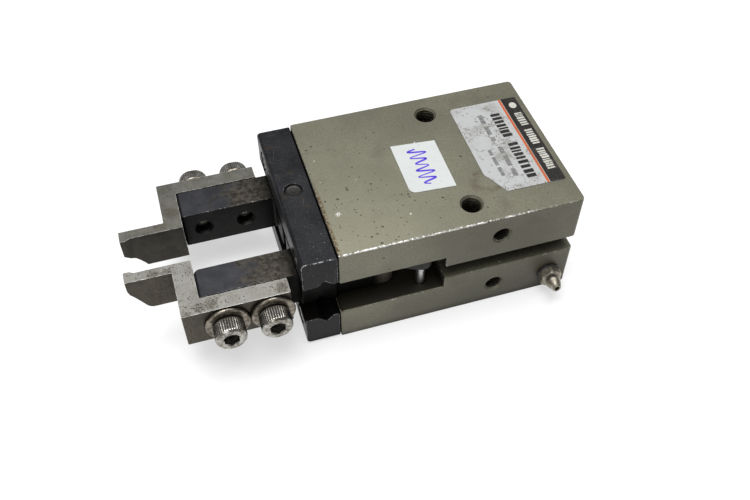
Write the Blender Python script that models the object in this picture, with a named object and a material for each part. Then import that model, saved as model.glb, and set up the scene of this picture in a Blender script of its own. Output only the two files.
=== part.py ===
"""Parallel pneumatic gripper with crossed-roller guides, cam levers and offset jaws.

The origin is the centre of the body's bottom face. +X runs from the cylinder to the jaw tips,
+Y is the way the near finger opens, and +Z is up. All lengths are in metres.
"""

import math

import bmesh
import bpy

MM = 0.001

# Body block, a fork in front and a cylinder behind.
BODY_LENGTH = 69.0 * MM
BODY_WIDTH = 52.0 * MM
BODY_HEIGHT = 35.0 * MM
BODY_CHAMFER = 0.5 * MM
FRONT = BODY_LENGTH / 2
REAR = -BODY_LENGTH / 2
SIDE = BODY_WIDTH / 2
MID_Z = BODY_HEIGHT / 2
OVERSHOOT = 1.0 * MM
GAP = 0.3 * MM
CLEARANCE = 0.15 * MM

# Open slot of the fork, and the sensor groove behind it on each side.
SLOT_DEPTH = 30.0 * MM
SLOT_HEIGHT = 12.6 * MM
GROOVE_HEIGHT = 5.15 * MM
GROOVE_DEPTH = 6.0 * MM

# Cylinder bore and the stepped hole for the rod. Distances are measured from the body's front.
BORE_RADIUS = 12.5 * MM
SEAL_RADIUS = BORE_RADIUS - 0.08 * MM
BORE_FRONT = FRONT - 40.0 * MM
GLAND_RADIUS = 7.0 * MM
GLAND_FRONT = FRONT - 32.0 * MM
ROD_HOLE_RADIUS = 5.35 * MM

# Rear closure: retaining ring, cover and seal.
RING_GROOVE = (REAR + 0.9 * MM, REAR + 2.1 * MM)
RING_GROOVE_RADIUS = 13.4 * MM
COVER_SPAN = (REAR + 2.3 * MM, REAR + 5.1 * MM)
COVER_RADIUS = 12.3 * MM

# Threaded holes, modelled at their thread's mean diameter.
M6_RADIUS = 2.75 * MM
M6_MOUTH = 3.2 * MM
M6_DEPTH = 10.0 * MM
MOUNT_HOLE_X = FRONT - 39.0 * MM
MOUNT_HOLE_Y = 18.65 * MM
M5_RADIUS = 2.3 * MM
M5_MOUTH = 2.75 * MM
PORT_DEPTH = 8.0 * MM
PORT_X = FRONT - 45.7 * MM
PORT_Z = (27.8 * MM, 6.9 * MM)
FITTING_X = FRONT - 62.6 * MM
FITTING_Z = 6.4 * MM
AIR_PASSAGE_RADIUS = 0.9 * MM

# Guide rails across the front, with a V groove on the inner face of each.
RAIL_BACK = FRONT + 0.25 * MM
RAIL_FRONT = FRONT + 9.9 * MM
RAIL_INNER = 6.9 * MM
RAIL_OUTER = 16.9 * MM
RAIL_HALF_LENGTH = 25.9 * MM
RAIL_ROUNDING = 1.1 * MM
V_X = FRONT + 4.0 * MM
V_HALF = 2.0 * MM
RAIL_SCREW_Y = 19.0 * MM
RAIL_SCREW_OFFSET = 12.0 * MM
RAIL_SCREW_HOLE = 1.7 * MM
RAIL_SCREW_MOUTH = 1.9 * MM
RAIL_SCREW_DEPTH = 9.0 * MM
RAIL_HEAD_HOLE = 3.0 * MM
RAIL_HEAD_DEPTH = 3.4 * MM
RAIL_HEAD_RADIUS = 2.75 * MM
RAIL_HEAD_HEIGHT = 3.0 * MM
RAIL_SHANK_RADIUS = 1.45 * MM
RAIL_SHANK_LENGTH = 12.0 * MM
RAIL_SOCKET_FLATS = 2.5 * MM
PLUG_X = FRONT + 5.2 * MM
PLUG_Y = -0.7 * MM
PLUG_RADIUS = 2.5 * MM

# Fingers: a slider between the rails, a bar in front and a tongue behind.
FINGER_HALF_HEIGHT = 6.1 * MM
SLIDER_X = (FRONT - 0.7 * MM, FRONT + 9.3 * MM)
SLIDER_Y = (2.2 * MM, 20.5 * MM)
BAR_FRONT = FRONT + 35.8 * MM
BAR_Y = (9.9 * MM, 19.4 * MM)
TONGUE_TOP = 1.7 * MM
TONGUE_BOTTOM = -5.9 * MM
DRIVE_X = FRONT - 14.5 * MM
DRIVE_Y = 16.6 * MM
DRIVE_PIN_RADIUS = 1.4 * MM
TONGUE_RADIUS = 3.2 * MM
FINGER_TAP_RADIUS = 2.4 * MM

# Travel of each finger from rest, and what follows it.
TRAVEL = (-1.8 * MM, 5.2 * MM)
ROD_PER_FINGER = 2.0
LEVER_RAD_PER_M = 88.0

# Levers: one above the rod's eye, the other below it.
PIVOT_X = FRONT - 24.3 * MM
PIVOT_Y = 21.8 * MM
PIVOT_RADIUS = 1.3 * MM
PIVOT_SPAN = (2.0 * MM, 27.5 * MM)
LEVER_SPAN = (2.1 * MM, 5.4 * MM)
LEVER_RIM = 1.7 * MM
SLIP = 0.2 * MM

# Piston, rod and cross pin.
PISTON_REAR = FRONT - 60.0 * MM
PISTON_LENGTH = 9.4 * MM
PISTON_RADIUS = 12.25 * MM
ROD_RADIUS = 5.0 * MM
SPIGOT_RADIUS = 2.8 * MM
CROSS_X = FRONT - 20.4 * MM
CROSS_PIN_RADIUS = 1.9 * MM
EYE_HALF = 1.7 * MM

# Crossed rollers, three to a row.
ROLLER_RADIUS = 1.5 * MM
ROLLER_LENGTH = 2.9 * MM
ROLLER_PITCH = 4.6 * MM
ROLLER_HEIGHT = 6.55 * MM
CAGE_THICKNESS = 0.3 * MM
CAGE_HALF_WIDTH = 3.2 * MM
CAGE_WINDOW = (2.4 * MM, 1.75 * MM)

# Jaws: an outer leg along the finger, a cross leg over its end and a tip.
JAW_HALF_HEIGHT = 6.1 * MM
LEG_REAR = FRONT + 12.8 * MM
CROSS_REAR = FRONT + 36.1 * MM
CROSS_FRONT = FRONT + 41.1 * MM
TIP_FRONT = FRONT + 53.6 * MM
LIP_START = FRONT + 52.2 * MM
LIP_FULL = FRONT + 52.9 * MM
LIP = 0.7 * MM
LEG_INNER = 19.6 * MM
JAW_SCREW_X = (FRONT + 30.3 * MM, FRONT + 18.1 * MM)
JAW_HOLE_RADIUS = 2.75 * MM

# The near jaw's cross leg and tip reach a little further forward than the far jaw's.
NEAR_JAW_ADVANCE = 0.45 * MM

# For each jaw, the outer face of its leg, then the inner and the outer face of its tip.
NEAR_JAW = (24.5 * MM, 6.15 * MM, 9.15 * MM)
FAR_JAW = (24.1 * MM, 6.28 * MM, 9.26 * MM)

# Jaw screws and washers.
WASHER_RADIUS = 6.1 * MM
WASHER_THICKNESS = 1.1 * MM
HEAD_RADIUS = 4.25 * MM
HEAD_HEIGHT = 5.0 * MM
SHANK_RADIUS = 2.1 * MM
SHANK_LENGTH = 13.0 * MM
SOCKET_FLATS = 4.0 * MM
CONTACT_GAP = 0.1 * MM

# Labels on the top face. Each corner is given by its distance from the front and its Y.
LABEL_LIFT = 0.03 * MM
LABEL_THICKNESS = 0.12 * MM
PLATE_CORNERS = ((67.8, -19.3), (46.5, -19.3), (46.3, 10.8), (50.2, 17.2), (67.8, 17.4))
PAPER_CORNERS = ((37.6, -8.6), (25.4, -8.1), (24.6, 8.6), (26.2, 10.2), (37.2, 9.8))

FINISHES = {
    "anodised_aluminium": ((0.42, 0.40, 0.34), 0.7, 0.45),
    "black_steel": ((0.07, 0.07, 0.08), 0.6, 0.45),
    "ground_steel": ((0.45, 0.43, 0.40), 0.9, 0.40),
    "nickel_screw": ((0.50, 0.48, 0.44), 0.9, 0.35),
    "spring_steel": ((0.30, 0.30, 0.31), 0.9, 0.35),
    "bearing_steel": ((0.62, 0.62, 0.63), 1.0, 0.2),
    "bronze": ((0.55, 0.36, 0.17), 0.9, 0.4),
    "nickel_brass": ((0.50, 0.46, 0.36), 0.9, 0.35),
    "nitrile": ((0.03, 0.03, 0.03), 0.0, 0.6),
    "magnet": ((0.10, 0.10, 0.11), 0.2, 0.6),
    "paper": ((0.85, 0.84, 0.82), 0.0, 0.7),
    "foil": ((0.70, 0.69, 0.68), 0.3, 0.45),
}


def clear_scene():
    for thing in list(bpy.data.objects):
        bpy.data.objects.remove(thing)


def finish(name):
    """The material of that name, made on its first use."""
    found = bpy.data.materials.get(name)
    if found:
        return found
    colour, metallic, roughness = FINISHES[name]
    made = bpy.data.materials.new(name)
    made.use_nodes = True
    shader = made.node_tree.nodes["Principled BSDF"]
    shader.inputs["Base Color"].default_value = (*colour, 1.0)
    shader.inputs["Metallic"].default_value = metallic
    shader.inputs["Roughness"].default_value = roughness
    return made


def piece(name, form, material=None):
    """An object from a bmesh. Without a material it is a cutter, which stays hidden."""
    bmesh.ops.recalc_face_normals(form, faces=form.faces)
    mesh = bpy.data.meshes.new(name)
    form.to_mesh(mesh)
    form.free()
    made = bpy.data.objects.new(name, mesh)
    bpy.context.scene.collection.objects.link(made)
    if material:
        mesh.materials.append(finish(material))
        mesh.shade_smooth()
        mesh.set_sharp_from_angle(angle=math.radians(35))
    else:
        made.hide_render = True
        made.display_type = "WIRE"
    return made


def block(name, low, high, material=None, chamfer=0.0):
    """A box between two corners, with every edge chamfered if asked."""
    form = bmesh.new()
    bmesh.ops.create_cube(form, size=1.0)
    for vert in form.verts:
        for axis in range(3):
            span = high[axis] - low[axis]
            vert.co[axis] = low[axis] + (vert.co[axis] + 0.5) * span
    if chamfer:
        bmesh.ops.bevel(form, geom=form.edges[:], offset=chamfer, segments=1, affect="EDGES")
    return piece(name, form, material)


def prism(name, outline, axis, low, high, material=None):
    """A closed outline extruded along an axis. Its points lie in the plane of the next two axes."""
    form = bmesh.new()
    ends = []
    for level in (low, high):
        ring = []
        for first, second in outline:
            point = [0.0, 0.0, 0.0]
            point[axis] = level
            point[(axis + 1) % 3] = first
            point[(axis + 2) % 3] = second
            ring.append(form.verts.new(point))
        ends.append(ring)
        form.faces.new(ring)
    count = len(outline)
    for i in range(count):
        j = (i + 1) % count
        form.faces.new((ends[0][i], ends[0][j], ends[1][j], ends[1][i]))
    return piece(name, form, material)


def turned(name, profile, axis, material=None, hollow=False, segments=24):
    """A profile of (distance, radius) turned about an axis through the origin.

    A radius may be a function of the angle. A hollow profile runs out along the outside and
    back along the inside, and a solid one has its two ends capped.
    """
    form = bmesh.new()
    rings = []
    for distance, radius in profile:
        ring = []
        for i in range(segments):
            angle = 2 * math.pi * i / segments
            reach = radius(angle) if callable(radius) else radius
            point = [0.0, 0.0, 0.0]
            point[axis] = distance
            point[(axis + 1) % 3] = reach * math.cos(angle)
            point[(axis + 2) % 3] = reach * math.sin(angle)
            ring.append(form.verts.new(point))
        rings.append(ring)
    pairs = list(zip(rings, rings[1:]))
    if hollow:
        pairs.append((rings[-1], rings[0]))
    else:
        form.faces.new(rings[0])
        form.faces.new(rings[-1])
    for here, there in pairs:
        for i in range(segments):
            j = (i + 1) % segments
            form.faces.new((here[i], here[j], there[j], there[i]))
    return piece(name, form, material)


def hexagon(flats):
    """The radius of a hexagon of that width across flats, as a function of the angle."""

    def radius(angle):
        return flats / 2 / math.cos((angle % (math.pi / 3)) - math.pi / 6)

    return radius


def cut(target, cutter):
    """Take the cutter out of the target. The cutter then moves with the target."""
    cutter.parent = target
    modifier = target.modifiers.new(cutter.name, "BOOLEAN")
    modifier.operation = "DIFFERENCE"
    modifier.object = cutter


def merge(target, other):
    other.parent = target
    other.hide_render = True
    other.display_type = "WIRE"
    modifier = target.modifiers.new(other.name, "BOOLEAN")
    modifier.operation = "UNION"
    modifier.object = other


def place(thing, location, rotation=(0.0, 0.0, 0.0)):
    thing.location = location
    thing.rotation_euler = rotation
    return thing


def arc(centre, radius, start, end, steps=6):
    """Points on an arc, with its angles in degrees."""
    points = []
    for i in range(steps + 1):
        angle = math.radians(start + (end - start) * i / steps)
        points.append((centre[0] + radius * math.cos(angle), centre[1] + radius * math.sin(angle)))
    return points


def joint_empty(name, location, pieces):
    """An empty on a joint's axis that carries the pieces of one moving body."""
    empty = bpy.data.objects.new(name, None)
    empty.location = location
    bpy.context.scene.collection.objects.link(empty)
    for thing in pieces:
        thing.parent = empty
        thing.location = [thing.location[i] - location[i] for i in range(3)]


def hole(name, position, axis, outward, radius, depth, mouth, segments=16):
    """A cutter for a blind hole with a countersunk mouth at the position."""
    countersink = mouth - radius
    profile = [
        (OVERSHOOT, mouth),
        (0.0, mouth),
        (-countersink, radius),
        (-depth, radius),
        (-depth - radius * 0.5, radius * 0.1),
    ]
    cutter = turned(name, [(outward * t, r) for t, r in profile], axis, segments=segments)
    return place(cutter, position)


def body():
    made = block(
        "body", (REAR, -SIDE, 0.0), (FRONT, SIDE, BODY_HEIGHT), "anodised_aluminium", BODY_CHAMFER
    )
    slot = block(
        "cut_slot",
        (FRONT - SLOT_DEPTH, -SIDE - OVERSHOOT, MID_Z - SLOT_HEIGHT / 2),
        (FRONT + OVERSHOOT, SIDE + OVERSHOOT, MID_Z + SLOT_HEIGHT / 2),
    )
    cut(made, slot)
    for side, sign in (("near", 1), ("far", -1)):
        inner, outer = sorted((sign * (SIDE - GROOVE_DEPTH), sign * (SIDE + OVERSHOOT)))
        groove = block(
            "cut_groove_" + side,
            (REAR - OVERSHOOT, inner, MID_Z - GROOVE_HEIGHT / 2),
            (FRONT - SLOT_DEPTH + OVERSHOOT, outer, MID_Z + GROOVE_HEIGHT / 2),
        )
        cut(made, groove)
        pin_hole = turned(
            "cut_pivot_" + side,
            [(-OVERSHOOT, PIVOT_RADIUS + 0.2 * MM), (PIVOT_SPAN[1] + GAP, PIVOT_RADIUS + 0.2 * MM)],
            2,
            segments=16,
        )
        cut(made, place(pin_hole, (PIVOT_X, sign * PIVOT_Y, 0.0)))
        for face, level, outward in (("top", BODY_HEIGHT, 1), ("bottom", 0.0, -1)):
            position = (MOUNT_HOLE_X, sign * MOUNT_HOLE_Y, level)
            cut(made, hole(f"cut_mount_{side}_{face}", position, 2, outward, M6_RADIUS, M6_DEPTH, M6_MOUTH))
        for level, outward in (("upper", 1), ("lower", -1)):
            position = (FRONT, sign * RAIL_SCREW_Y, MID_Z + outward * RAIL_SCREW_OFFSET)
            name = f"cut_rail_{side}_{level}"
            cut(made, hole(name, position, 0, 1, RAIL_SCREW_HOLE, RAIL_SCREW_DEPTH, RAIL_SCREW_MOUTH))
    cut(made, bore_cutter())
    cut_ports(made)
    return made


def bore_cutter():
    """Cylinder, ring groove, rod gland and rod hole as one stepped shape along X."""
    profile = [
        (REAR - OVERSHOOT, BORE_RADIUS),
        (RING_GROOVE[0], BORE_RADIUS),
        (RING_GROOVE[0], RING_GROOVE_RADIUS),
        (RING_GROOVE[1], RING_GROOVE_RADIUS),
        (RING_GROOVE[1], BORE_RADIUS),
        (BORE_FRONT, BORE_RADIUS),
        (BORE_FRONT, GLAND_RADIUS),
        (GLAND_FRONT, GLAND_RADIUS),
        (GLAND_FRONT, ROD_HOLE_RADIUS),
        (FRONT - SLOT_DEPTH + OVERSHOOT, ROD_HOLE_RADIUS),
    ]
    return place(turned("cut_bore", profile, 0, segments=48), (0.0, 0.0, MID_Z))


def cut_ports(made):
    """Two threaded ports and the fitting's port on the near side, with their air passages."""
    ports = (
        ("upper", PORT_X, PORT_Z[0]),
        ("lower", PORT_X, PORT_Z[1]),
        ("fitting", FITTING_X, FITTING_Z),
    )
    for name, x, z in ports:
        cut(made, hole("cut_port_" + name, (x, SIDE, z), 1, 1, M5_RADIUS, PORT_DEPTH, M5_MOUTH))
        passage = turned(
            "cut_passage_" + name,
            [(2.0 * MM, AIR_PASSAGE_RADIUS), (SIDE - PORT_DEPTH, AIR_PASSAGE_RADIUS)],
            1,
            segments=12,
        )
        cut(made, place(passage, (x, 0.0, z)))


def retaining_ring():
    """An open spring ring with two drilled ears at its ends."""
    outer, inner = 13.1 * MM, 11.2 * MM
    opening = 14.0
    outline = arc((0.0, 0.0), outer, 90 + opening, 450 - opening, 40)
    ear = arc((0.0, 0.0), 9.3 * MM, 450 - opening, 450 - opening - 12, 3)
    outline += ear
    outline += arc((0.0, 0.0), inner, 450 - opening - 18, 90 + opening + 18, 34)
    outline += arc((0.0, 0.0), 9.3 * MM, 90 + opening + 12, 90 + opening, 3)
    low, high = RING_GROOVE
    made = prism("retaining_ring", outline, 0, low + 0.1 * MM, high - 0.1 * MM, "spring_steel")
    for i, angle in enumerate((90 - opening - 6, 90 + opening + 6)):
        centre = arc((0.0, 0.0), 10.5 * MM, angle, angle, 1)[0]
        drill = turned(f"cut_ear_{i}", [(low - GAP, 0.6 * MM), (high + GAP, 0.6 * MM)], 0, segments=10)
        cut(made, place(drill, (0.0, centre[0], centre[1])))
    return place(made, (0.0, 0.0, MID_Z))


def rear_closure():
    low, high = COVER_SPAN
    groove = (low + 0.6 * MM, low + 2.2 * MM)
    floor = COVER_RADIUS - 1.4 * MM
    profile = [
        (low, COVER_RADIUS - 0.4 * MM),
        (low + 0.4 * MM, COVER_RADIUS),
        (groove[0], COVER_RADIUS),
        (groove[0], floor),
        (groove[1], floor),
        (groove[1], COVER_RADIUS),
        (high, COVER_RADIUS),
    ]
    cover = turned("head_cover", profile, 0, "anodised_aluminium", segments=32)
    cut(cover, turned("cut_cover_centre", [(low - OVERSHOOT, 4.0 * MM), (low + 0.8 * MM, 4.0 * MM)], 0))
    slack = 0.2 * MM
    seal = seal_ring("cover_seal", groove[0] + slack, groove[1] - slack, floor + slack, SEAL_RADIUS)
    for thing in (cover, seal):
        place(thing, (0.0, 0.0, MID_Z))
    return [cover, seal, retaining_ring()]


def seal_ring(name, low, high, inner, outer, material="nitrile", segments=32):
    """A ring of rectangular section with its outer corners eased."""
    ease = (high - low) * 0.25
    profile = [
        (low, outer - ease),
        (low + ease, outer),
        (high - ease, outer),
        (high, outer - ease),
        (high, inner),
        (low, inner),
    ]
    return turned(name, profile, 0, material, hollow=True, segments=segments)


def gland():
    """Rod seal and bush in the wall between the cylinder and the fork."""
    outer = GLAND_RADIUS - CLEARANCE
    inner = ROD_RADIUS + CLEARANCE
    seal = seal_ring("rod_seal", FRONT - 39.2 * MM, FRONT - 36.2 * MM, inner, outer, segments=20)
    bush = seal_ring("rod_bush", FRONT - 35.8 * MM, FRONT - 32.3 * MM, inner, outer, "bronze", 20)
    return [place(thing, (0.0, 0.0, MID_Z)) for thing in (seal, bush)]


def socket_screw(name, head, height, shank, length, flats, position, yaw, material="nickel_screw"):
    """A socket head screw. Its head's underside is at the position and its head points along +X."""
    ease = height * 0.08
    profile = [
        (-length, shank * 0.8),
        (-length + shank * 0.3, shank),
        (0.0, shank),
        (0.0, head),
        (height - ease, head),
        (height, head - ease),
    ]
    made = turned(name, profile, 0, material, segments=18)
    socket = turned(
        "cut_socket_" + name,
        [(height * 0.5, hexagon(flats)), (height + OVERSHOOT, hexagon(flats))],
        0,
        segments=6,
    )
    cut(made, socket)
    return place(made, position, (0.0, 0.0, math.radians(yaw)))


def guide_rail(name, up):
    """One rail. The outline is in the XZ plane, counted outward from the body's middle height."""
    ease = 0.4 * MM
    section = [
        (RAIL_BACK, RAIL_INNER),
        (V_X - V_HALF, RAIL_INNER),
        (V_X, RAIL_INNER + V_HALF),
        (V_X + V_HALF, RAIL_INNER),
        (RAIL_FRONT - ease, RAIL_INNER),
        (RAIL_FRONT, RAIL_INNER + ease),
    ]
    centre = (RAIL_FRONT - RAIL_ROUNDING, RAIL_OUTER - RAIL_ROUNDING)
    section += arc(centre, RAIL_ROUNDING, 0, 90, 5)
    section += [(RAIL_BACK + ease, RAIL_OUTER), (RAIL_BACK, RAIL_OUTER - ease)]
    outline = [(MID_Z + up * height, x) for x, height in section]
    made = prism(name, outline, 1, -RAIL_HALF_LENGTH, RAIL_HALF_LENGTH, "black_steel")
    screw_z = MID_Z + up * RAIL_SCREW_OFFSET
    for side, y in (("near", RAIL_SCREW_Y), ("far", -RAIL_SCREW_Y)):
        counterbore = turned(
            f"cut_{name}_{side}",
            [
                (RAIL_BACK - OVERSHOOT, RAIL_SCREW_HOLE),
                (RAIL_FRONT - RAIL_HEAD_DEPTH, RAIL_SCREW_HOLE),
                (RAIL_FRONT - RAIL_HEAD_DEPTH, RAIL_HEAD_HOLE),
                (RAIL_FRONT + OVERSHOOT, RAIL_HEAD_HOLE),
            ],
            0,
            segments=16,
        )
        cut(made, place(counterbore, (0.0, y, screw_z)))
    plug_face = MID_Z + up * RAIL_OUTER
    mouth_radius = PLUG_RADIUS + 0.2 * MM
    position = (PLUG_X, PLUG_Y, plug_face)
    cut(made, hole(f"cut_{name}_plug", position, 2, up, PLUG_RADIUS, 6.0 * MM, mouth_radius, 20))
    return made


def rail_plug(name, up):
    face = MID_Z + up * (RAIL_OUTER - 0.35 * MM)
    radius = PLUG_RADIUS - CLEARANCE
    profile = [
        (0.0, radius - 0.3 * MM),
        (-0.3 * MM, radius),
        (-5.0 * MM, radius),
        (-5.3 * MM, radius - 0.3 * MM),
    ]
    made = turned(name, [(up * t, r) for t, r in profile], 2, "spring_steel", segments=20)
    return place(made, (PLUG_X, PLUG_Y, face))


def rails():
    made = []
    for level, up in (("upper", 1), ("lower", -1)):
        made.append(guide_rail("guide_rail_" + level, up))
        made.append(rail_plug("rail_plug_" + level, up))
        for side, sign in (("near", 1), ("far", -1)):
            seat = RAIL_FRONT - RAIL_HEAD_DEPTH + CLEARANCE
            screw = socket_screw(
                f"rail_screw_{level}_{side}",
                RAIL_HEAD_RADIUS,
                RAIL_HEAD_HEIGHT,
                RAIL_SHANK_RADIUS,
                RAIL_SHANK_LENGTH,
                RAIL_SOCKET_FLATS,
                (seat, sign * RAIL_SCREW_Y, MID_Z + up * RAIL_SCREW_OFFSET),
                0,
            )
            made.append(screw)
    return made


def hose_fitting():
    """A barbed hose fitting on the near side: threaded stem, hexagon, neck and one barb."""
    hexagon_width = hexagon(6.0 * MM)
    passage = 0.8 * MM
    profile = [
        (-6.0 * MM, 1.7 * MM),
        (-5.6 * MM, 2.1 * MM),
        (0.7 * MM, 2.1 * MM),
        (0.7 * MM, hexagon_width),
        (2.9 * MM, hexagon_width),
        (3.2 * MM, 2.5 * MM),
        (3.2 * MM, 1.5 * MM),
        (3.9 * MM, 1.5 * MM),
        (4.1 * MM, 2.2 * MM),
        (6.7 * MM, 1.3 * MM),
        (6.9 * MM, 1.1 * MM),
        (6.9 * MM, passage),
        (-6.0 * MM, passage),
    ]
    fitting = turned("hose_fitting", profile, 1, "nickel_brass", hollow=True, segments=18)
    gasket = turned(
        "fitting_gasket",
        [
            (0.05 * MM, 2.4 * MM),
            (0.05 * MM, 3.6 * MM),
            (0.2 * MM, 3.8 * MM),
            (0.45 * MM, 3.8 * MM),
            (0.6 * MM, 3.6 * MM),
            (0.6 * MM, 2.4 * MM),
        ],
        1,
        "nitrile",
        hollow=True,
        segments=18,
    )
    return [place(thing, (FITTING_X, SIDE, FITTING_Z)) for thing in (fitting, gasket)]


def pivot_pin(name, sign):
    ease = 0.3 * MM
    low, high = PIVOT_SPAN
    profile = [
        (low, PIVOT_RADIUS - ease),
        (low + ease, PIVOT_RADIUS),
        (high - ease, PIVOT_RADIUS),
        (high, PIVOT_RADIUS - ease),
    ]
    made = turned(name, profile, 2, "bearing_steel", segments=12)
    return place(made, (PIVOT_X, sign * PIVOT_Y, 0.0))


def piston_group():
    """Piston with its seal, magnet and nut, and the rod with its cross pin."""
    rear, front = PISTON_REAR, PISTON_REAR + PISTON_LENGTH
    seal_groove = (front - 4.2 * MM, front - 1.0 * MM)
    magnet_groove = (rear + 1.6 * MM, rear + 4.6 * MM)
    floor = 10.0 * MM
    recess = rear + 3.6 * MM
    hole_radius = SPIGOT_RADIUS + 0.25 * MM
    profile = [
        (rear, PISTON_RADIUS - 1.2 * MM),
        (rear + 1.2 * MM, PISTON_RADIUS),
        (magnet_groove[0], PISTON_RADIUS),
        (magnet_groove[0], floor),
        (magnet_groove[1], floor),
        (magnet_groove[1], PISTON_RADIUS),
        (seal_groove[0], PISTON_RADIUS),
        (seal_groove[0], floor),
        (seal_groove[1], floor),
        (seal_groove[1], PISTON_RADIUS),
        (front - 0.5 * MM, PISTON_RADIUS),
        (front, PISTON_RADIUS - 0.5 * MM),
        (front, hole_radius),
        (recess, hole_radius),
        (recess, 6.2 * MM),
        (rear, 6.2 * MM),
    ]
    piston = turned("piston", profile, 0, "anodised_aluminium", hollow=True, segments=32)
    ring = floor + 0.2 * MM
    seal = seal_ring("piston_seal", seal_groove[0] + GAP, seal_groove[1] - GAP, ring, SEAL_RADIUS)
    magnet = seal_ring(
        "piston_magnet", magnet_groove[0] + 0.2 * MM, magnet_groove[1] - 0.2 * MM, ring, 11.9 * MM, "magnet"
    )
    nut_width = hexagon(9.5 * MM)
    nut = turned(
        "piston_nut",
        [
            (rear + 0.4 * MM, 4.5 * MM),
            (rear + 0.7 * MM, nut_width),
            (recess - GAP, nut_width),
            (recess - GAP, hole_radius),
            (rear + 0.4 * MM, hole_radius),
        ],
        0,
        "spring_steel",
        hollow=True,
        segments=12,
    )
    made = [piston, seal, magnet, nut, piston_rod(rear, front), cross_pin()]
    for thing in made[:5]:
        place(thing, (0.0, 0.0, MID_Z))
    return made


def piston_rod(rear, front):
    """Rod with a spigot through the piston and a flat eye for the cross pin."""
    end = CROSS_X + 3.8 * MM
    shoulder = front + GAP
    profile = [
        (rear + 0.6 * MM, SPIGOT_RADIUS - 0.4 * MM),
        (rear + 1.0 * MM, SPIGOT_RADIUS),
        (shoulder, SPIGOT_RADIUS),
        (shoulder, ROD_RADIUS),
        (end - 1.2 * MM, ROD_RADIUS),
        (end, ROD_RADIUS - 1.2 * MM),
    ]
    made = turned("piston_rod", profile, 0, "bearing_steel")
    for name, up in (("above", 1), ("below", -1)):
        low, high = sorted((up * EYE_HALF, up * (ROD_RADIUS + OVERSHOOT)))
        flat = block(
            "cut_rod_flat_" + name,
            (CROSS_X - 7.5 * MM, -ROD_RADIUS - OVERSHOOT, low),
            (end + OVERSHOOT, ROD_RADIUS + OVERSHOOT, high),
        )
        cut(made, flat)
    radius = CROSS_PIN_RADIUS + CLEARANCE
    drill = turned("cut_rod_eye", [(-ROD_RADIUS, radius), (ROD_RADIUS, radius)], 2, segments=20)
    cut(made, place(drill, (CROSS_X, 0.0, 0.0)))
    return made


def cross_pin():
    ease = 0.3 * MM
    half = LEVER_SPAN[1] + 0.1 * MM
    profile = [
        (-half, CROSS_PIN_RADIUS - ease),
        (-half + ease, CROSS_PIN_RADIUS),
        (half - ease, CROSS_PIN_RADIUS),
        (half, CROSS_PIN_RADIUS - ease),
    ]
    made = turned("cross_pin", profile, 2, "spring_steel", segments=20)
    return place(made, (CROSS_X, 0.0, MID_Z))


def cam_path(pin_x, pin_y, step_x, step_y, steps=8):
    """The path of a sliding pin as seen from the turning lever, about the lever's pivot."""
    points = []
    for i in range(steps + 1):
        travel = TRAVEL[0] - SLIP + (TRAVEL[1] - TRAVEL[0] + 2 * SLIP) * i / steps
        x = pin_x + step_x * travel - PIVOT_X
        y = pin_y + step_y * travel - PIVOT_Y
        angle = -LEVER_RAD_PER_M * travel
        turned_x = x * math.cos(angle) - y * math.sin(angle)
        turned_y = x * math.sin(angle) + y * math.cos(angle)
        points.append((turned_x, turned_y))
    return points


def hull_of_circles(circles, steps=18):
    """The convex outline around circles given as (x, y, radius), counter-clockwise."""
    points = []
    for x, y, radius in circles:
        points += arc((x, y), radius, 0, 360 * (steps - 1) / steps, steps - 1)
    points.sort()
    halves = []
    for run in (points, points[::-1]):
        chain = []
        for point in run:
            while len(chain) > 1 and turn(chain[-2], chain[-1], point) <= 0:
                chain.pop()
            chain.append(point)
        halves += chain[:-1]
    return halves


def turn(first, second, third):
    """Positive where three points turn to the left."""
    ahead = (second[0] - first[0], second[1] - first[1])
    across = (third[0] - first[0], third[1] - first[1])
    return ahead[0] * across[1] - ahead[1] * across[0]


def lever(name, sign):
    """A lever with two cam slots. The far lever is the near one turned over about the X axis."""
    low, high = LEVER_SPAN[0] - OVERSHOOT, LEVER_SPAN[1] + OVERSHOOT
    hub = PIVOT_RADIUS + LEVER_RIM
    slots = (
        ("drive", cam_path(CROSS_X, 0.0, ROD_PER_FINGER, 0.0), CROSS_PIN_RADIUS + SLIP),
        ("output", cam_path(DRIVE_X, DRIVE_Y, 0.0, 1.0), DRIVE_PIN_RADIUS + SLIP),
    )
    arms = []
    for end, path, radius in slots:
        outline = hull_of_circles([(0.0, 0.0, hub)] + [(x, y, radius + LEVER_RIM) for x, y in path])
        arm_name = name if end == "drive" else "add_" + name
        arms.append(prism(arm_name, outline, 2, *LEVER_SPAN, "spring_steel"))
    made, short_arm = arms
    merge(made, short_arm)
    for end, path, radius in slots:
        slot = hull_of_circles([(x, y, radius) for x, y in path])
        cut(made, prism(f"cut_{name}_{end}", slot, 2, low, high))
    pivot = PIVOT_RADIUS + CLEARANCE
    cut(made, turned(f"cut_{name}_pivot", [(low, pivot), (high, pivot)], 2, segments=16))
    turn_over = 0.0 if sign > 0 else math.pi
    return place(made, (PIVOT_X, sign * PIVOT_Y, MID_Z), (turn_over, 0.0, 0.0))


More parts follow.
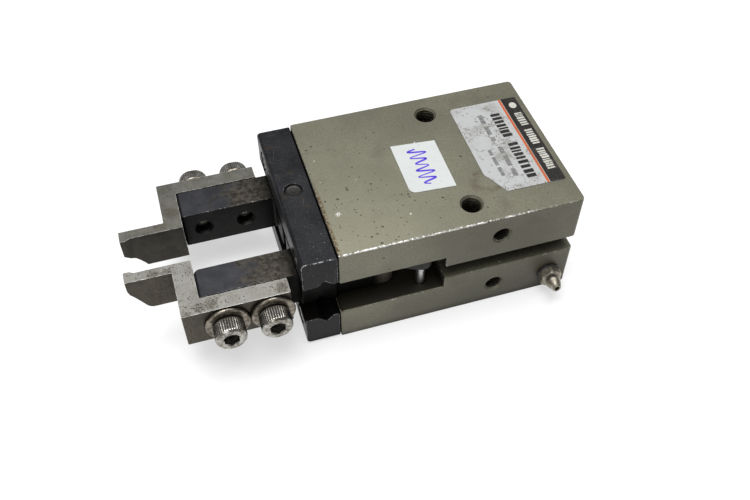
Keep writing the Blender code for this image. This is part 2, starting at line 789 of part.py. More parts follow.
def finger(name, sign):
    """A finger about the gripper's long axis. The far finger is the near one turned over."""
    plan = [(SLIDER_X[0], SLIDER_Y[0]), (SLIDER_X[1], SLIDER_Y[0]), (SLIDER_X[1], BAR_Y[0])]
    plan += arc((BAR_FRONT - 1.7 * MM, BAR_Y[0] + 1.7 * MM), 1.7 * MM, -90, 0, 5)
    plan += arc((BAR_FRONT - 0.5 * MM, BAR_Y[1] - 0.5 * MM), 0.5 * MM, 0, 90, 2)
    plan += [(SLIDER_X[1], BAR_Y[1]), (SLIDER_X[1], SLIDER_Y[1]), (SLIDER_X[0], SLIDER_Y[1])]
    plan += [(SLIDER_X[0], DRIVE_Y + TONGUE_RADIUS)]
    plan += arc((DRIVE_X, DRIVE_Y), TONGUE_RADIUS, 90, 270, 12)
    plan += [(SLIDER_X[0], DRIVE_Y - TONGUE_RADIUS)]
    made = prism(name, plan, 2, -FINGER_HALF_HEIGHT, FINGER_HALF_HEIGHT, "black_steel")
    reach = (DRIVE_X - TONGUE_RADIUS - OVERSHOOT, SLIDER_X[0])
    for level, low, high in (
        ("top", TONGUE_TOP, FINGER_HALF_HEIGHT + OVERSHOOT),
        ("bottom", -FINGER_HALF_HEIGHT - OVERSHOOT, TONGUE_BOTTOM),
    ):
        step = block(f"cut_{name}_{level}", (reach[0], 0.0, low), (reach[1], SIDE, high))
        cut(made, step)
    for level, up in (("upper", 1), ("lower", -1)):
        face = up * FINGER_HALF_HEIGHT
        wedge = [
            (up * OVERSHOOT + face, V_X - V_HALF - OVERSHOOT),
            (face - up * (V_HALF - 0.1 * MM), V_X),
            (up * OVERSHOOT + face, V_X + V_HALF + OVERSHOOT),
        ]
        cut(made, prism(f"cut_{name}_v_{level}", wedge, 1, 0.0, SIDE))
    for i, x in enumerate(JAW_SCREW_X):
        tap = [(0.0, FINGER_TAP_RADIUS), (SIDE, FINGER_TAP_RADIUS)]
        drill = turned(f"cut_{name}_screw_{i}", tap, 1, segments=16)
        cut(made, place(drill, (x, 0.0, 0.0)))
    seat = DRIVE_PIN_RADIUS + CLEARANCE
    drill = turned(f"cut_{name}_drive", [(-3.2 * MM, seat), (TONGUE_TOP + OVERSHOOT, seat)], 2, segments=16)
    cut(made, place(drill, (DRIVE_X, DRIVE_Y, 0.0)))
    turn_over = 0.0 if sign > 0 else math.pi
    return place(made, (0.0, 0.0, MID_Z), (turn_over, 0.0, 0.0))


def drive_pin(name, sign):
    ease = 0.25 * MM
    low, high = -2.9 * MM, LEVER_SPAN[1] - 0.1 * MM
    profile = [
        (low, DRIVE_PIN_RADIUS - ease),
        (low + ease, DRIVE_PIN_RADIUS),
        (high - ease, DRIVE_PIN_RADIUS),
        (high, DRIVE_PIN_RADIUS - ease),
    ]
    made = turned(name, [(sign * t, r) for t, r in profile], 2, "bearing_steel", segments=16)
    return place(made, (DRIVE_X, sign * DRIVE_Y, MID_Z))


def jaw(name, sign, faces, advance, bevel):
    """An offset jaw. Its tip's lower front corner is cut back along the bevel's points."""
    leg_outer, tip_inner, tip_outer = faces
    plan = [
        (LEG_REAR, LEG_INNER),
        (CROSS_REAR, LEG_INNER),
        (CROSS_REAR, tip_inner),
        (LIP_START + advance, tip_inner),
        (LIP_FULL + advance, tip_inner - LIP),
        (TIP_FRONT + advance, tip_inner - LIP),
        (TIP_FRONT + advance, tip_outer),
        (CROSS_FRONT + advance, tip_outer),
        (CROSS_FRONT + advance, leg_outer),
        (LEG_REAR, leg_outer),
    ]
    bottom, top = MID_Z - JAW_HALF_HEIGHT, MID_Z + JAW_HALF_HEIGHT
    made = prism(name, [(x, sign * y) for x, y in plan], 2, bottom, top, "ground_steel")
    corner = [(bevel[0][0], bottom - OVERSHOOT)]
    corner += bevel
    corner.append((bevel[-1][0], bottom - OVERSHOOT))
    low, high = sorted((sign * (tip_inner - 2 * LIP), sign * (tip_outer + OVERSHOOT)))
    cut(made, prism("cut_" + name, [(z, x) for x, z in corner], 1, low, high))
    for i, x in enumerate(JAW_SCREW_X):
        drill = turned(
            f"cut_{name}_{i}",
            [(0.0, JAW_HOLE_RADIUS), (sign * (leg_outer + OVERSHOOT), JAW_HOLE_RADIUS)],
            1,
            segments=16,
        )
        cut(made, place(drill, (x, 0.0, MID_Z)))
    return made


def jaw_group(side, sign, faces, advance, bevel):
    """One jaw with its washers and screws."""
    made = [jaw("jaw_" + side, sign, faces, advance, bevel)]
    for place_name, x in zip(("front", "rear"), JAW_SCREW_X):
        washer_low = faces[0] + CONTACT_GAP
        washer_high = washer_low + WASHER_THICKNESS
        ease = 0.25 * MM
        profile = [
            (washer_low, WASHER_RADIUS - ease),
            (washer_low + ease, WASHER_RADIUS),
            (washer_high - ease, WASHER_RADIUS),
            (washer_high, WASHER_RADIUS - ease),
            (washer_high, JAW_HOLE_RADIUS),
            (washer_low, JAW_HOLE_RADIUS),
        ]
        washer = turned(
            f"washer_{side}_{place_name}", [(sign * t, r) for t, r in profile], 1, "nickel_screw", True, 18
        )
        made.append(place(washer, (x, 0.0, MID_Z)))
        position = (x, sign * (washer_high + CONTACT_GAP), MID_Z)
        made.append(
            socket_screw(
                f"jaw_screw_{side}_{place_name}",
                HEAD_RADIUS,
                HEAD_HEIGHT,
                SHANK_RADIUS,
                SHANK_LENGTH,
                SOCKET_FLATS,
                position,
                90 * sign,
            )
        )
    return made


def roller_row(side, sign, level, up):
    """Three crossed rollers and their cage, between a finger and a rail."""
    centre_y = sign * (SLIDER_Y[0] + SLIDER_Y[1]) / 2
    centre_z = MID_Z + up * ROLLER_HEIGHT
    made = []
    half = ROLLER_LENGTH / 2
    ease = 0.2 * MM
    cage = block(
        f"roller_cage_{side}_{level}",
        (V_X - CAGE_HALF_WIDTH, centre_y - 1.5 * ROLLER_PITCH - GAP, centre_z - CAGE_THICKNESS / 2),
        (V_X + CAGE_HALF_WIDTH, centre_y + 1.5 * ROLLER_PITCH + GAP, centre_z + CAGE_THICKNESS / 2),
        "bronze",
    )
    made.append(cage)
    for i in range(3):
        y = centre_y + (i - 1) * ROLLER_PITCH
        profile = [
            (-half, ROLLER_RADIUS - ease),
            (-half + ease, ROLLER_RADIUS),
            (half - ease, ROLLER_RADIUS),
            (half, ROLLER_RADIUS - ease),
        ]
        roller = turned(f"roller_{side}_{level}_{i + 1}", profile, 2, "bearing_steel", segments=12)
        tilt = 45 if i % 2 else -45
        made.append(place(roller, (V_X, y, centre_z), (0.0, math.radians(tilt), 0.0)))
        window = block(
            f"cut_cage_{side}_{level}_{i}",
            (V_X - CAGE_WINDOW[0], y - CAGE_WINDOW[1], centre_z - GAP),
            (V_X + CAGE_WINDOW[0], y + CAGE_WINDOW[1], centre_z + GAP),
        )
        cut(cage, window)
    return made


def labels():
    """A name plate with one cut corner and a paper label, both on the top face."""
    low = BODY_HEIGHT + LABEL_LIFT
    plate, paper = (
        [(FRONT - back * MM, y * MM) for back, y in corners] for corners in (PLATE_CORNERS, PAPER_CORNERS)
    )
    return [
        prism("name_plate", plate, 2, low, low + LABEL_THICKNESS, "foil"),
        prism("paper_label", paper, 2, low, low + LABEL_THICKNESS, "paper"),
    ]


def jaw_shapes():
    """For each side, its sign, its three faces, its advance and the points of its tip's bevel.

    The near tip has a straight bevel and the far tip a hollow one, as ground by hand.
    """
    bottom = MID_Z - JAW_HALF_HEIGHT
    near_front = TIP_FRONT + NEAR_JAW_ADVANCE
    near_bevel = (
        (near_front + OVERSHOOT, bottom + 8.6 * MM),
        (near_front, bottom + 8.6 * MM),
        (near_front - 0.4 * MM, bottom + 7.1 * MM),
        (near_front - 1.7 * MM, bottom + 5.2 * MM),
        (near_front - 4.4 * MM, bottom + 0.5 * MM),
        (near_front - 5.8 * MM, bottom - 0.1 * MM),
    )
    far_bevel = [(TIP_FRONT + OVERSHOOT, bottom + 5.9 * MM)]
    far_bevel += arc((TIP_FRONT + 8.3 * MM, bottom - 7.6 * MM), 15.9 * MM, 121, 152, 5)
    return {
        "near": (1, NEAR_JAW, NEAR_JAW_ADVANCE, near_bevel),
        "far": (-1, FAR_JAW, 0.0, far_bevel),
    }


def main():
    clear_scene()
    body()
    rear_closure()
    gland()
    rails()
    hose_fitting()
    labels()
    joint_empty("piston_axis", (0.0, 0.0, MID_Z), piston_group())
    for side, (sign, faces, advance, bevel) in jaw_shapes().items():
        pivot_pin("pivot_pin_" + side, sign)
        joint_empty(f"lever_{side}_pivot", (PIVOT_X, sign * PIVOT_Y, MID_Z), [lever("lever_" + side, sign)])
        moving = [finger("finger_" + side, sign), drive_pin("drive_pin_" + side, sign)]
        moving += jaw_group(side, sign, faces, advance, bevel)
        joint_empty(f"finger_{side}_slide", (V_X, 0.0, MID_Z), moving)
        rollers = roller_row(side, sign, "upper", 1) + roller_row(side, sign, "lower", -1)
        joint_empty(f"rollers_{side}_slide", (V_X, 0.0, MID_Z), rollers)


main()
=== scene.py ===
"""Looks of a used parallel gripper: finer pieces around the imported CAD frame.

Lengths are in millimetres in the CAD frame: the origin is the centre of the body's bottom face,
+X runs to the jaw tips, +Y is the way the near finger opens, and +Z is up.
"""

import math
import random
from functools import partialmethod

import bmesh
import bpy
from mathutils import Matrix, Vector


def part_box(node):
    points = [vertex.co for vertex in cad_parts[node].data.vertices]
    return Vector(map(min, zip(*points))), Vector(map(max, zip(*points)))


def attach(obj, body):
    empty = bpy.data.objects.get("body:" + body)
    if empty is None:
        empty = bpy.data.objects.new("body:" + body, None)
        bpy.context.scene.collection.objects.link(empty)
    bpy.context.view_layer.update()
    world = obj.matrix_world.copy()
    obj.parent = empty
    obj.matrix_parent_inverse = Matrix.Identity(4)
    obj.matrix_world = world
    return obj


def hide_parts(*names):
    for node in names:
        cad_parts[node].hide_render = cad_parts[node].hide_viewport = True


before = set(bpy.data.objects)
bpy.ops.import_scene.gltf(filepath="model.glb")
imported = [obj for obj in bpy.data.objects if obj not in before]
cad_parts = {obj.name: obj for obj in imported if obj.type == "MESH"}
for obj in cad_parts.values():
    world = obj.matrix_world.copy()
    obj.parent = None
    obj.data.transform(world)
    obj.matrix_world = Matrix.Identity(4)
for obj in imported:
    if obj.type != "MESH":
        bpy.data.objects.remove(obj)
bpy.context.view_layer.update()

MM = 0.001
OVER = 1.0
SHARP = math.radians(32)


def spans(node):
    """The (low, high) pair of a CAD node along X, Y and Z, in millimetres."""
    low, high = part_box(node)
    return [(low[axis] / MM, high[axis] / MM) for axis in range(3)]


(REAR, FRONT), (FAR_SIDE, SIDE), (BOTTOM, TOP) = spans("body")
MID_Z = (BOTTOM + TOP) / 2

# The fork's slot and the sensor grooves.
SLOT_END = FRONT - 30.0
SLOT_HEIGHT = 12.6
GROOVE_HEIGHT = 5.15
GROOVE_DEPTH = 6.0

# Radii in the cylinder: its bore, its ring's groove, the rod's gland and the rod's hole.
BORE = 12.5
RING_GROOVE = 13.4
GLAND = 7.0
ROD_HOLE = 5.35

# Threads are (radius over the threads, depth of a thread, pitch), and their holes are
# (depth, width of the countersink).
M6 = (3.15, 0.45, 1.0)
M5 = (2.65, 0.4, 0.8)
MOUNT_HOLE = (10.0, 0.6)
PORT_HOLE = (8.0, 0.65)
FINGER_HOLE = (9.0, 0.7)
MOUNT_X = FRONT - 39.0
MOUNT_Y = 18.65
PORT_X = FRONT - 45.7
PORT_Z = (27.8, 6.9)
FITTING_X = FRONT - 62.6
FITTING_Z = 6.4

# The guide rails' V groove, plug (x, y, radius) and screws.
V_X = FRONT + 4.0
V_HALF = 2.0
PLUG = (FRONT + 5.2, -0.7, 2.5)
RAIL_SCREW = {"head": 2.75, "height": 3.0, "shank": 1.45, "flats": 2.5, "teeth": 30}
RAIL_SCREW_Y = 19.0
RAIL_SCREW_OFFSET = 12.0

# Fingers. The bar's extra length closes the slit to the jaw, and the drive is the tongue's
# round end and the pivot its pin, each as (x, y, radius).
SLIDER_X = (FRONT - 0.7, FRONT + 9.3)
BAR_Y = (9.9, 19.4)
BAR_EXTRA = 0.27
BAR_CORNER = {"near": 1.7, "far": 0.6}
TONGUE_STEP = 1.7
DRIVE = (FRONT - 14.5, 16.6, 3.2)
PIVOT = (FRONT - 24.3, 21.8, 1.3)
FINGER_TAP = (2.5, 0.44, 0.8)

# Jaws. A tip is (inner, outer) across Y, the lip (start, end, height), a washer (outer, inner)
# radius, and the advance is how much further than the far jaw each one reaches.
JAW_SCREW = {"head": 4.25, "height": 5.0, "shank": 2.0, "flats": 4.0, "teeth": 44}
JAW_SCREW_X = (FRONT + 30.3, FRONT + 18.1)
WASHER = (6.1, 2.75)
LEG_INNER = 19.6
CROSS_X = (FRONT + 36.1, FRONT + 41.1)
TIP_FRONT = FRONT + 53.6
LIP = (FRONT + 52.2, FRONT + 52.9, 0.7)
ADVANCE = {"near": 0.45, "far": 0.0}
TIP_Y = {"near": (6.15, 9.15), "far": (6.28, 9.26)}

# A brown smear by the near mounting hole, and a bright chip near the joint with the rail.
SMEAR = (FRONT - 46.5, 12.0)
CHIP = (FRONT - 3.8, 12.0)

# Thickness of printed and written marks.
PRINT = 0.015


# ---- modelling


def filleted(corners, steps=5):
    """An outline whose corners, given as (x, y, radius), are rounded off."""
    points = []
    for i, (x, y, radius) in enumerate(corners):
        here = Vector((x, y))
        if not radius:
            points.append(here)
            continue
        back = (Vector(corners[i - 1][:2]) - here).normalized()
        ahead = (Vector(corners[(i + 1) % len(corners)][:2]) - here).normalized()
        half = back.angle(ahead) / 2
        centre = here + (back + ahead).normalized() * radius / math.sin(half)
        first = here + back * radius / math.tan(half) - centre
        last = here + ahead * radius / math.tan(half) - centre
        start = math.atan2(first.y, first.x)
        sweep = (math.atan2(last.y, last.x) - start + math.pi) % (2 * math.pi) - math.pi
        for k in range(steps + 1):
            angle = start + sweep * k / steps
            points.append(centre + radius * Vector((math.cos(angle), math.sin(angle))))
    return points


def arc(centre, radius, start, end, steps):
    """Points on an arc, with its angles in degrees."""
    angles = [math.radians(start + (end - start) * i / steps) for i in range(steps + 1)]
    return [(centre[0] + radius * math.cos(a), centre[1] + radius * math.sin(a)) for a in angles]


def turns(count):
    return [2 * math.pi * i / count for i in range(count)]


def half_turn(steps):
    return [math.pi * (i / steps - 0.5) for i in range(steps + 1)]


def solid(name, form):
    """An object from a bmesh, still in millimetres."""
    bmesh.ops.recalc_face_normals(form, faces=form.faces)
    mesh = bpy.data.meshes.new(name)
    form.to_mesh(mesh)
    form.free()
    made = bpy.data.objects.new(name, mesh)
    bpy.context.scene.collection.objects.link(made)
    return made


def add_prism(form, outline, axis, low, high):
    """Extrude a closed outline along an axis. Its points lie in the plane of the next two axes."""
    ends = []
    for level in (low, high):
        ring = []
        for first, second in outline:
            point = [0.0, 0.0, 0.0]
            point[axis] = level
            point[(axis + 1) % 3] = first
            point[(axis + 2) % 3] = second
            ring.append(form.verts.new(point))
        ends.append(ring)
        form.faces.new(ring)
    for i in range(len(outline)):
        form.faces.new((ends[0][i - 1], ends[0][i], ends[1][i], ends[1][i - 1]))


def prism(name, outline, axis, low, high):
    form = bmesh.new()
    add_prism(form, outline, axis, low, high)
    return solid(name, form)


def rectangle(xs, ys):
    return [(xs[0], ys[0]), (xs[1], ys[0]), (xs[1], ys[1]), (xs[0], ys[1])]


def block(name, xs, ys, zs):
    return prism(name, rectangle(xs, ys), 2, *zs)


def turned(name, profile, axis, centre=(0.0, 0.0, 0.0), segments=64, hollow=False):
    """A profile of (distance, radius) turned about an axis through the centre.

    A radius may be a function of the angle and the distance. A hollow profile closes on itself.
    """
    form = bmesh.new()
    rings = []
    for distance, radius in profile:
        ring = []
        for i in range(segments):
            angle = 2 * math.pi * i / segments
            reach = radius(angle, distance) if callable(radius) else radius
            point = list(centre)
            point[axis] += distance
            point[(axis + 1) % 3] += reach * math.cos(angle)
            point[(axis + 2) % 3] += reach * math.sin(angle)
            ring.append(form.verts.new(point))
        rings.append(ring)
    pairs = list(zip(rings, rings[1:]))
    if hollow:
        pairs.append((rings[-1], rings[0]))
    else:
        form.faces.new(rings[0])
        form.faces.new(rings[-1])
    for here, there in pairs:
        for i in range(segments):
            form.faces.new((here[i - 1], here[i], there[i], there[i - 1]))
    return solid(name, form)


def pointed(profile, outward):
    """A profile given outward along +axis, turned to point along -axis if outward is -1."""
    return [(outward * distance, radius) for distance, radius in profile]


def hexagon(flats):
    def radius(angle, distance):
        return flats / 2 / math.cos((angle % (math.pi / 3)) - math.pi / 6)

    return radius


def applied(target):
    """Turn the target's modifiers into its mesh."""
    ready = target.evaluated_get(bpy.context.evaluated_depsgraph_get())
    mesh = bpy.data.meshes.new_from_object(ready)
    target.modifiers.clear()
    target.data = mesh
    return target


def carve(target, cutters):
    """Take the cutters out of the target and remove them."""
    for cutter in cutters:
        modifier = target.modifiers.new(cutter.name, "BOOLEAN")
        modifier.operation = "DIFFERENCE"
        modifier.object = cutter
    applied(target)
    for cutter in cutters:
        bpy.data.objects.remove(cutter)
    return target


def soften(target, width, steps=3):
    """Round the target's convex edges, and mark the faces that this makes as worn."""
    form = bmesh.new()
    form.from_mesh(target.data)
    bmesh.ops.remove_doubles(form, verts=form.verts, dist=0.002)
    flat = math.radians(0.3)
    bmesh.ops.dissolve_limit(form, angle_limit=flat, verts=form.verts, edges=form.edges)
    worn = form.faces.layers.float.new("worn")
    edges = [
        edge
        for edge in form.edges
        if edge.is_manifold and edge.is_convex and edge.calc_face_angle() > SHARP
    ]
    shape = {"offset": width, "segments": steps, "profile": 0.5, "affect": "EDGES"}
    made = bmesh.ops.bevel(form, geom=edges, clamp_overlap=True, **shape)
    for face in made["faces"]:
        face[worn] = 1.0
    form.to_mesh(target.data)
    form.free()
    return target


def threaded(name, position, axis, outward, thread, depth, mouth):
    """A cutter for a tapped hole: a countersunk mouth, a helical thread and a drill point."""
    major, cut_depth, pitch = thread
    minor = major - cut_depth
    rim = minor + mouth

    def helix(angle, distance):
        turn = (distance * outward / pitch + angle * outward / (2 * math.pi)) % 1.0
        return minor + cut_depth * (1 - abs(2 * turn - 1))

    profile = [(OVER, rim), (0.06, rim), (-0.05, rim - 0.05), (-mouth, minor + 0.02)]
    count = round((depth - 1.6) / pitch * 6)
    profile += [(-mouth - 0.05 - pitch * i / 6, helix) for i in range(count)]
    profile += [(-depth, minor), (-depth - minor * 0.5, minor * 0.1)]
    return turned(name, pointed(profile, outward), axis, position, segments=36)


def drilled(name, position, axis, reach, radius, segments=40):
    """A plain round cutter along an axis, from one distance to another."""
    return turned(name, [(reach[0], radius), (reach[1], radius)], axis, position, segments)


def show(target, body, slot, *nodes, finish=None):
    """Bring a finished piece to metres, shade it, and make it stand for its CAD nodes.

    Its finish is the one with the slot's name, unless another is named.
    """
    target.data.transform(Matrix.Scale(MM, 4))
    target.data.materials.clear()
    target.data.materials.append(FINISHES[finish or slot])
    target.data.shade_smooth()
    target.data.set_sharp_from_angle(angle=SHARP)
    even = target.modifiers.new("even", "WEIGHTED_NORMAL")
    even.keep_sharp = True
    even.weight = 100
    applied(target)
    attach(target, body)
    if nodes:
        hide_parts(*nodes)
    return target


# ---- materials


class Paint:
    """A material whose nodes are added through short calls that return sockets."""

    def __init__(self, name, metallic, roughness):
        self.material = bpy.data.materials.new(name)
        self.material.use_nodes = True
        self.tree = self.material.node_tree
        self.shader = self.tree.nodes["Principled BSDF"]
        self.put("Metallic", metallic)
        self.put("Roughness", roughness)
        self.place = self.add("TexCoord").outputs["Object"]
        self.colour = None

    def add(self, kind, inputs=None, **settings):
        node = self.tree.nodes.new("ShaderNode" + kind)
        for key, value in settings.items():
            setattr(node, key, value)
        for key, value in (inputs or {}).items():
            self.feed(node.inputs[key], value)
        return node

    def feed(self, socket, value):
        if isinstance(value, bpy.types.NodeSocket):
            self.tree.links.new(value, socket)
        else:
            socket.default_value = value

    def put(self, name, value):
        self.feed(self.shader.inputs[name], value)

    def maths(self, operation, first, *others):
        """The operation on the first value and each of the others in turn."""
        for other in others or (0.0,):
            first = self.add("Math", {0: first, 1: other}, operation=operation).outputs[0]
        return first

    times = partialmethod(maths, "MULTIPLY")
    plus = partialmethod(maths, "ADD")
    minus = partialmethod(maths, "SUBTRACT")
    most = partialmethod(maths, "MAXIMUM")

    def step(self, value, low, high, start=0.0, end=1.0):
        """A smooth change from start to end while the value goes from low to high."""
        inputs = {"Value": value, "From Min": low, "From Max": high, "To Min": start, "To Max": end}
        node = self.add("MapRange", inputs, interpolation_type="SMOOTHSTEP")
        return node.outputs["Result"]

    def blend(self, factor, first, second):
        node = self.add("Mix", data_type="RGBA")
        for index, value in ((0, factor), (6, first), (7, second)):
            colour = isinstance(value, tuple) and len(value) == 3
            self.feed(node.inputs[index], (*value, 1.0) if colour else value)
        return node.outputs[2]

    def cover(self, share, colour):
        """Lay a colour over the paint so far, as thick as the share says."""
        self.colour = self.blend(share, self.colour, colour)

    def at(self, size, turn=(0.0, 0.0, 0.0), shift=0.0):
        """The place on the piece, counted in steps of that size along each axis after a turn."""
        scale = [length * MM for length in (size if isinstance(size, tuple) else (size,) * 3)]
        inputs = {"Vector": self.place, "Rotation": [math.radians(a) for a in turn], "Scale": scale}
        inputs["Location"] = [shift * MM] * 3
        return self.add("Mapping", inputs, vector_type="TEXTURE").outputs["Vector"]

    def noise(self, size, detail=3.0, seed=0.0, turn=(0.0, 0.0, 0.0), rough=0.55):
        inputs = {"Vector": self.at(size, turn), "W": seed, "Scale": 1.0}
        inputs.update({"Detail": detail, "Roughness": rough})
        return self.add("TexNoise", inputs, noise_dimensions="4D").outputs["Fac"]

    def clouds(self, size, detail, seed, low, high, end=1.0, rough=0.55):
        """Noise made into patches, from 0 between them to the end value inside."""
        return self.step(self.noise(size, detail, seed, rough=rough), low, high, 0.0, end)

    def spots(self, size, radius, share, seed=0.0):
        """Round spots on a random grid, of which only a share is kept."""
        place = self.at(size, shift=seed * 7.3)
        cells = self.add("TexVoronoi", {"Vector": place, "Scale": 1.0})
        chosen = self.maths("LESS_THAN", self.parts(cells.outputs["Color"])[0], share)
        return self.times(self.step(cells.outputs["Distance"], radius, radius * 0.6), chosen)

    def parts(self, vector):
        return self.add("SeparateXYZ", {0: vector}).outputs

    def facing(self, axis):
        return self.parts(self.add("NewGeometry").outputs["Normal"])[axis]

    def along(self, axis, low, high, end=1.0):
        """A smooth change from 0 to the end value between two places along an axis."""
        return self.step(self.parts(self.place)[axis], low * MM, high * MM, 0.0, end)

    def within(self, axis, middle, half):
        """One where the place is nearer than half to the middle along an axis, and zero beyond."""
        offset = self.minus(self.parts(self.place)[axis], middle * MM)
        return self.step(self.maths("ABSOLUTE", offset), half * MM, (half - 0.1) * MM)

    def edge(self, radius):
        """How close the surface is to an edge, from 0 on the flat to 1."""
        rounded = self.add("Bevel", {"Radius": radius * MM}, samples=4).outputs["Normal"]
        plain = self.add("NewGeometry").outputs["Normal"]
        likeness = self.add("VectorMath", {0: rounded, 1: plain}, operation="DOT_PRODUCT")
        worn = self.add("Attribute", attribute_name="worn").outputs["Fac"]
        return self.most(self.step(likeness.outputs["Value"], 0.995, 0.8), worn)

    def rubbed_edges_and_highlights(self, radius, size, seed, rough, low, high):
        """Bare metal in broken stretches along the edges; on the rails it also stands for a painted
        highlight.
        """
        torn = self.noise(size, 5.0, seed, rough=rough)
        return self.step(self.plus(self.times(self.edge(radius), 0.9), torn), low, high)

    def scratches(self, strength):
        """Fine straight scratches in three directions."""
        lines = []
        for seed, angle in ((11.0, 12.0), (12.0, 74.0), (13.0, -38.0)):
            line = self.noise((9.0, 0.1, 9.0), 2.0, seed, (0.0, 0.0, angle))
            lines.append(self.step(line, 0.67, 0.74))
        return self.times(self.most(*lines), strength)

    def hollow(self, reach, most, least):
        """How shut in the surface is, from 0 in the open to 1 deep in a hole or a narrow gap."""
        opening = self.add("AmbientOcclusion", {"Distance": reach * MM}, samples=6)
        return self.step(opening.outputs["AO"], most, least)

    def patch(self, x, y, reach, seed):
        """A ragged round area about a place seen from above, from 0 to 1."""
        here = self.parts(self.place)
        across = self.minus(here[0], x * MM)
        along = self.minus(here[1], y * MM)
        squares = self.plus(self.times(across, across), self.times(along, along))
        far_off = self.maths("DIVIDE", self.maths("SQRT", squares), reach * MM)
        ragged = self.times(self.noise(reach * 0.45, 5.0, seed, rough=0.7), 1.2)
        return self.step(self.plus(far_off, ragged), 1.45, 0.95)

    def paint_shade_in_hollows(self, deep, metallic, specular):
        """Painted shade: make the paint nearly black, and its metal and sheen dull, where the
        surface is deep in a hole or a narrow gap.
        """
        open_part = self.minus(1.0, deep)
        self.put("Metallic", self.times(open_part, metallic))
        self.put("Specular IOR Level", self.times(open_part, specular))
        self.cover(self.times(deep, 0.96), (0.004, 0.0035, 0.003))

    def done(self, height, distance, strength):
        """The finished material, with the height as fine relief."""
        inputs = {"Height": height, "Distance": distance * MM, "Strength": strength}
        self.put("Base Color", self.colour)
        self.put("Normal", self.add("Bump", inputs).outputs["Normal"])
        return self.material


def scaled(colour, factor):
    return tuple(part * factor for part in colour)


def anodised():
    """Grey-green anodised aluminium: grain, stains, black pits, rubbed and chipped edges, with
    painted light on the top and painted shade on the near side, inside the slot and in holes.
    """
    p = Paint("anodised_aluminium", 0.5, 0.42)
    stain = p.clouds(22.0, 4.0, 1.0, 0.35, 0.65)
    p.colour = p.blend(stain, (0.152, 0.147, 0.105), (0.2, 0.194, 0.139))
    grain = p.noise(0.42, 3.0, 2.0, rough=0.65)
    p.cover(p.step(grain, 0.4, 0.62, 0.0, 0.55), (0.105, 0.098, 0.074))
    p.cover(p.clouds(0.55, 3.0, 9.0, 0.6, 0.72, 0.45), (0.27, 0.265, 0.22))
    p.cover(p.times(p.clouds(9.0, 5.0, 3.0, 0.52, 0.72), 0.35), (0.085, 0.075, 0.052))
    # Painted light: the top is paler towards the near front. Painted shade: the near side is darker
    # towards the rear and below.
    up = p.step(p.facing(2), 0.5, 0.9)
    lit = p.times(up, p.along(0, FRONT - 55.0, FRONT - 5.0), 0.38, p.along(1, FAR_SIDE, SIDE))
    p.cover(lit, (0.31, 0.302, 0.216))
    shade = p.times(p.step(p.facing(1), 0.3, 0.9), p.along(0, FRONT - 4.0, REAR + 25.0), 0.55)
    shade = p.plus(shade, p.along(2, 17.0, 2.0, 0.22))
    p.cover(p.times(shade, p.minus(1.0, up)), (0.034, 0.03, 0.018))
    # Black pits, thickest near the front of the top.
    front = p.times(p.along(0, FRONT - 30.0, FRONT - 6.0), p.along(1, -8.0, 14.0))
    clumps = p.step(p.noise(5.0, 4.0, 13.0), 0.45, 0.62, 0.15, 1.0)
    share = p.plus(p.times(front, clumps, 0.36), 0.035)
    share = p.times(share, p.plus(p.times(up, 0.85), 0.15))
    pits = p.most(p.spots(1.7, 0.27, share, 4.0), p.spots(0.9, 0.3, share, 6.0))
    pits = p.times(pits, p.clouds(0.35, 3.0, 12.0, 0.4, 0.52, rough=0.8))
    p.cover(p.times(pits, 0.85), (0.03, 0.027, 0.018))
    # The smear, rust along the joint with the rail, and painted shade inside the slot.
    ring = p.times(p.patch(*SMEAR, 7.0, 14.0), p.minus(1.0, p.patch(*SMEAR, 5.0, 14.0)))
    p.cover(p.times(ring, up, 0.55), (0.075, 0.05, 0.03))
    joint = p.times(p.along(0, FRONT - 1.3, FRONT - 0.5), p.along(1, -6.0, 8.0), up)
    rust = p.times(joint, p.clouds(0.9, 4.0, 6.0, 0.4, 0.55, rough=0.7))
    p.cover(rust, (0.095, 0.055, 0.018))
    # Painted shade: the slot's inner faces are made nearly black.
    slot_shade = p.times(
        p.within(2, MID_Z, SLOT_HEIGHT / 2 + 0.1),
        p.within(1, 0.0, SIDE - 0.4),
        p.along(0, SLOT_END - 0.3, SLOT_END - 0.1),
    )
    p.cover(p.times(slot_shade, 0.85), (0.02, 0.017, 0.013))
    # Bare metal: worn edges, the chipped near edge of the top, dents and flecks.
    near_top = p.times(
        p.along(1, SIDE - 1.7, SIDE - 0.1),
        p.along(2, TOP - 0.9, TOP - 0.1),
        p.along(0, REAR - 60.0, FRONT - 30.0, 0.86),
    )
    torn = p.noise(0.8, 6.0, 7.0, rough=0.8)
    worn = p.step(p.plus(p.times(p.edge(0.6), 0.8), torn), 1.33, 1.45)
    chipped = p.step(p.plus(near_top, p.times(torn, 1.6)), 1.5, 1.66)
    dents = p.times(p.patch(*CHIP, 1.1, 5.0), p.clouds(0.5, 4.0, 15.0, 0.4, 0.55))
    flecks = p.times(p.spots(5.0, 0.07, 0.25, 5.0), 0.8)
    bare_and_highlight = p.most(worn, chipped, p.times(p.most(dents, flecks), up))
    p.cover(bare_and_highlight, (0.74, 0.73, 0.7))
    # Painted shade in holes and gaps.
    p.paint_shade_in_hollows(p.hollow(6.0, 0.76, 0.38), p.step(bare_and_highlight, 0.0, 1.0, 0.5, 1.0), 0.5)
    p.put("Roughness", p.step(grain, 0.2, 0.8, 0.36, 0.52))
    return p.done(p.minus(p.times(grain, 0.5), p.plus(pits, bare_and_highlight)), 0.07, 0.8)


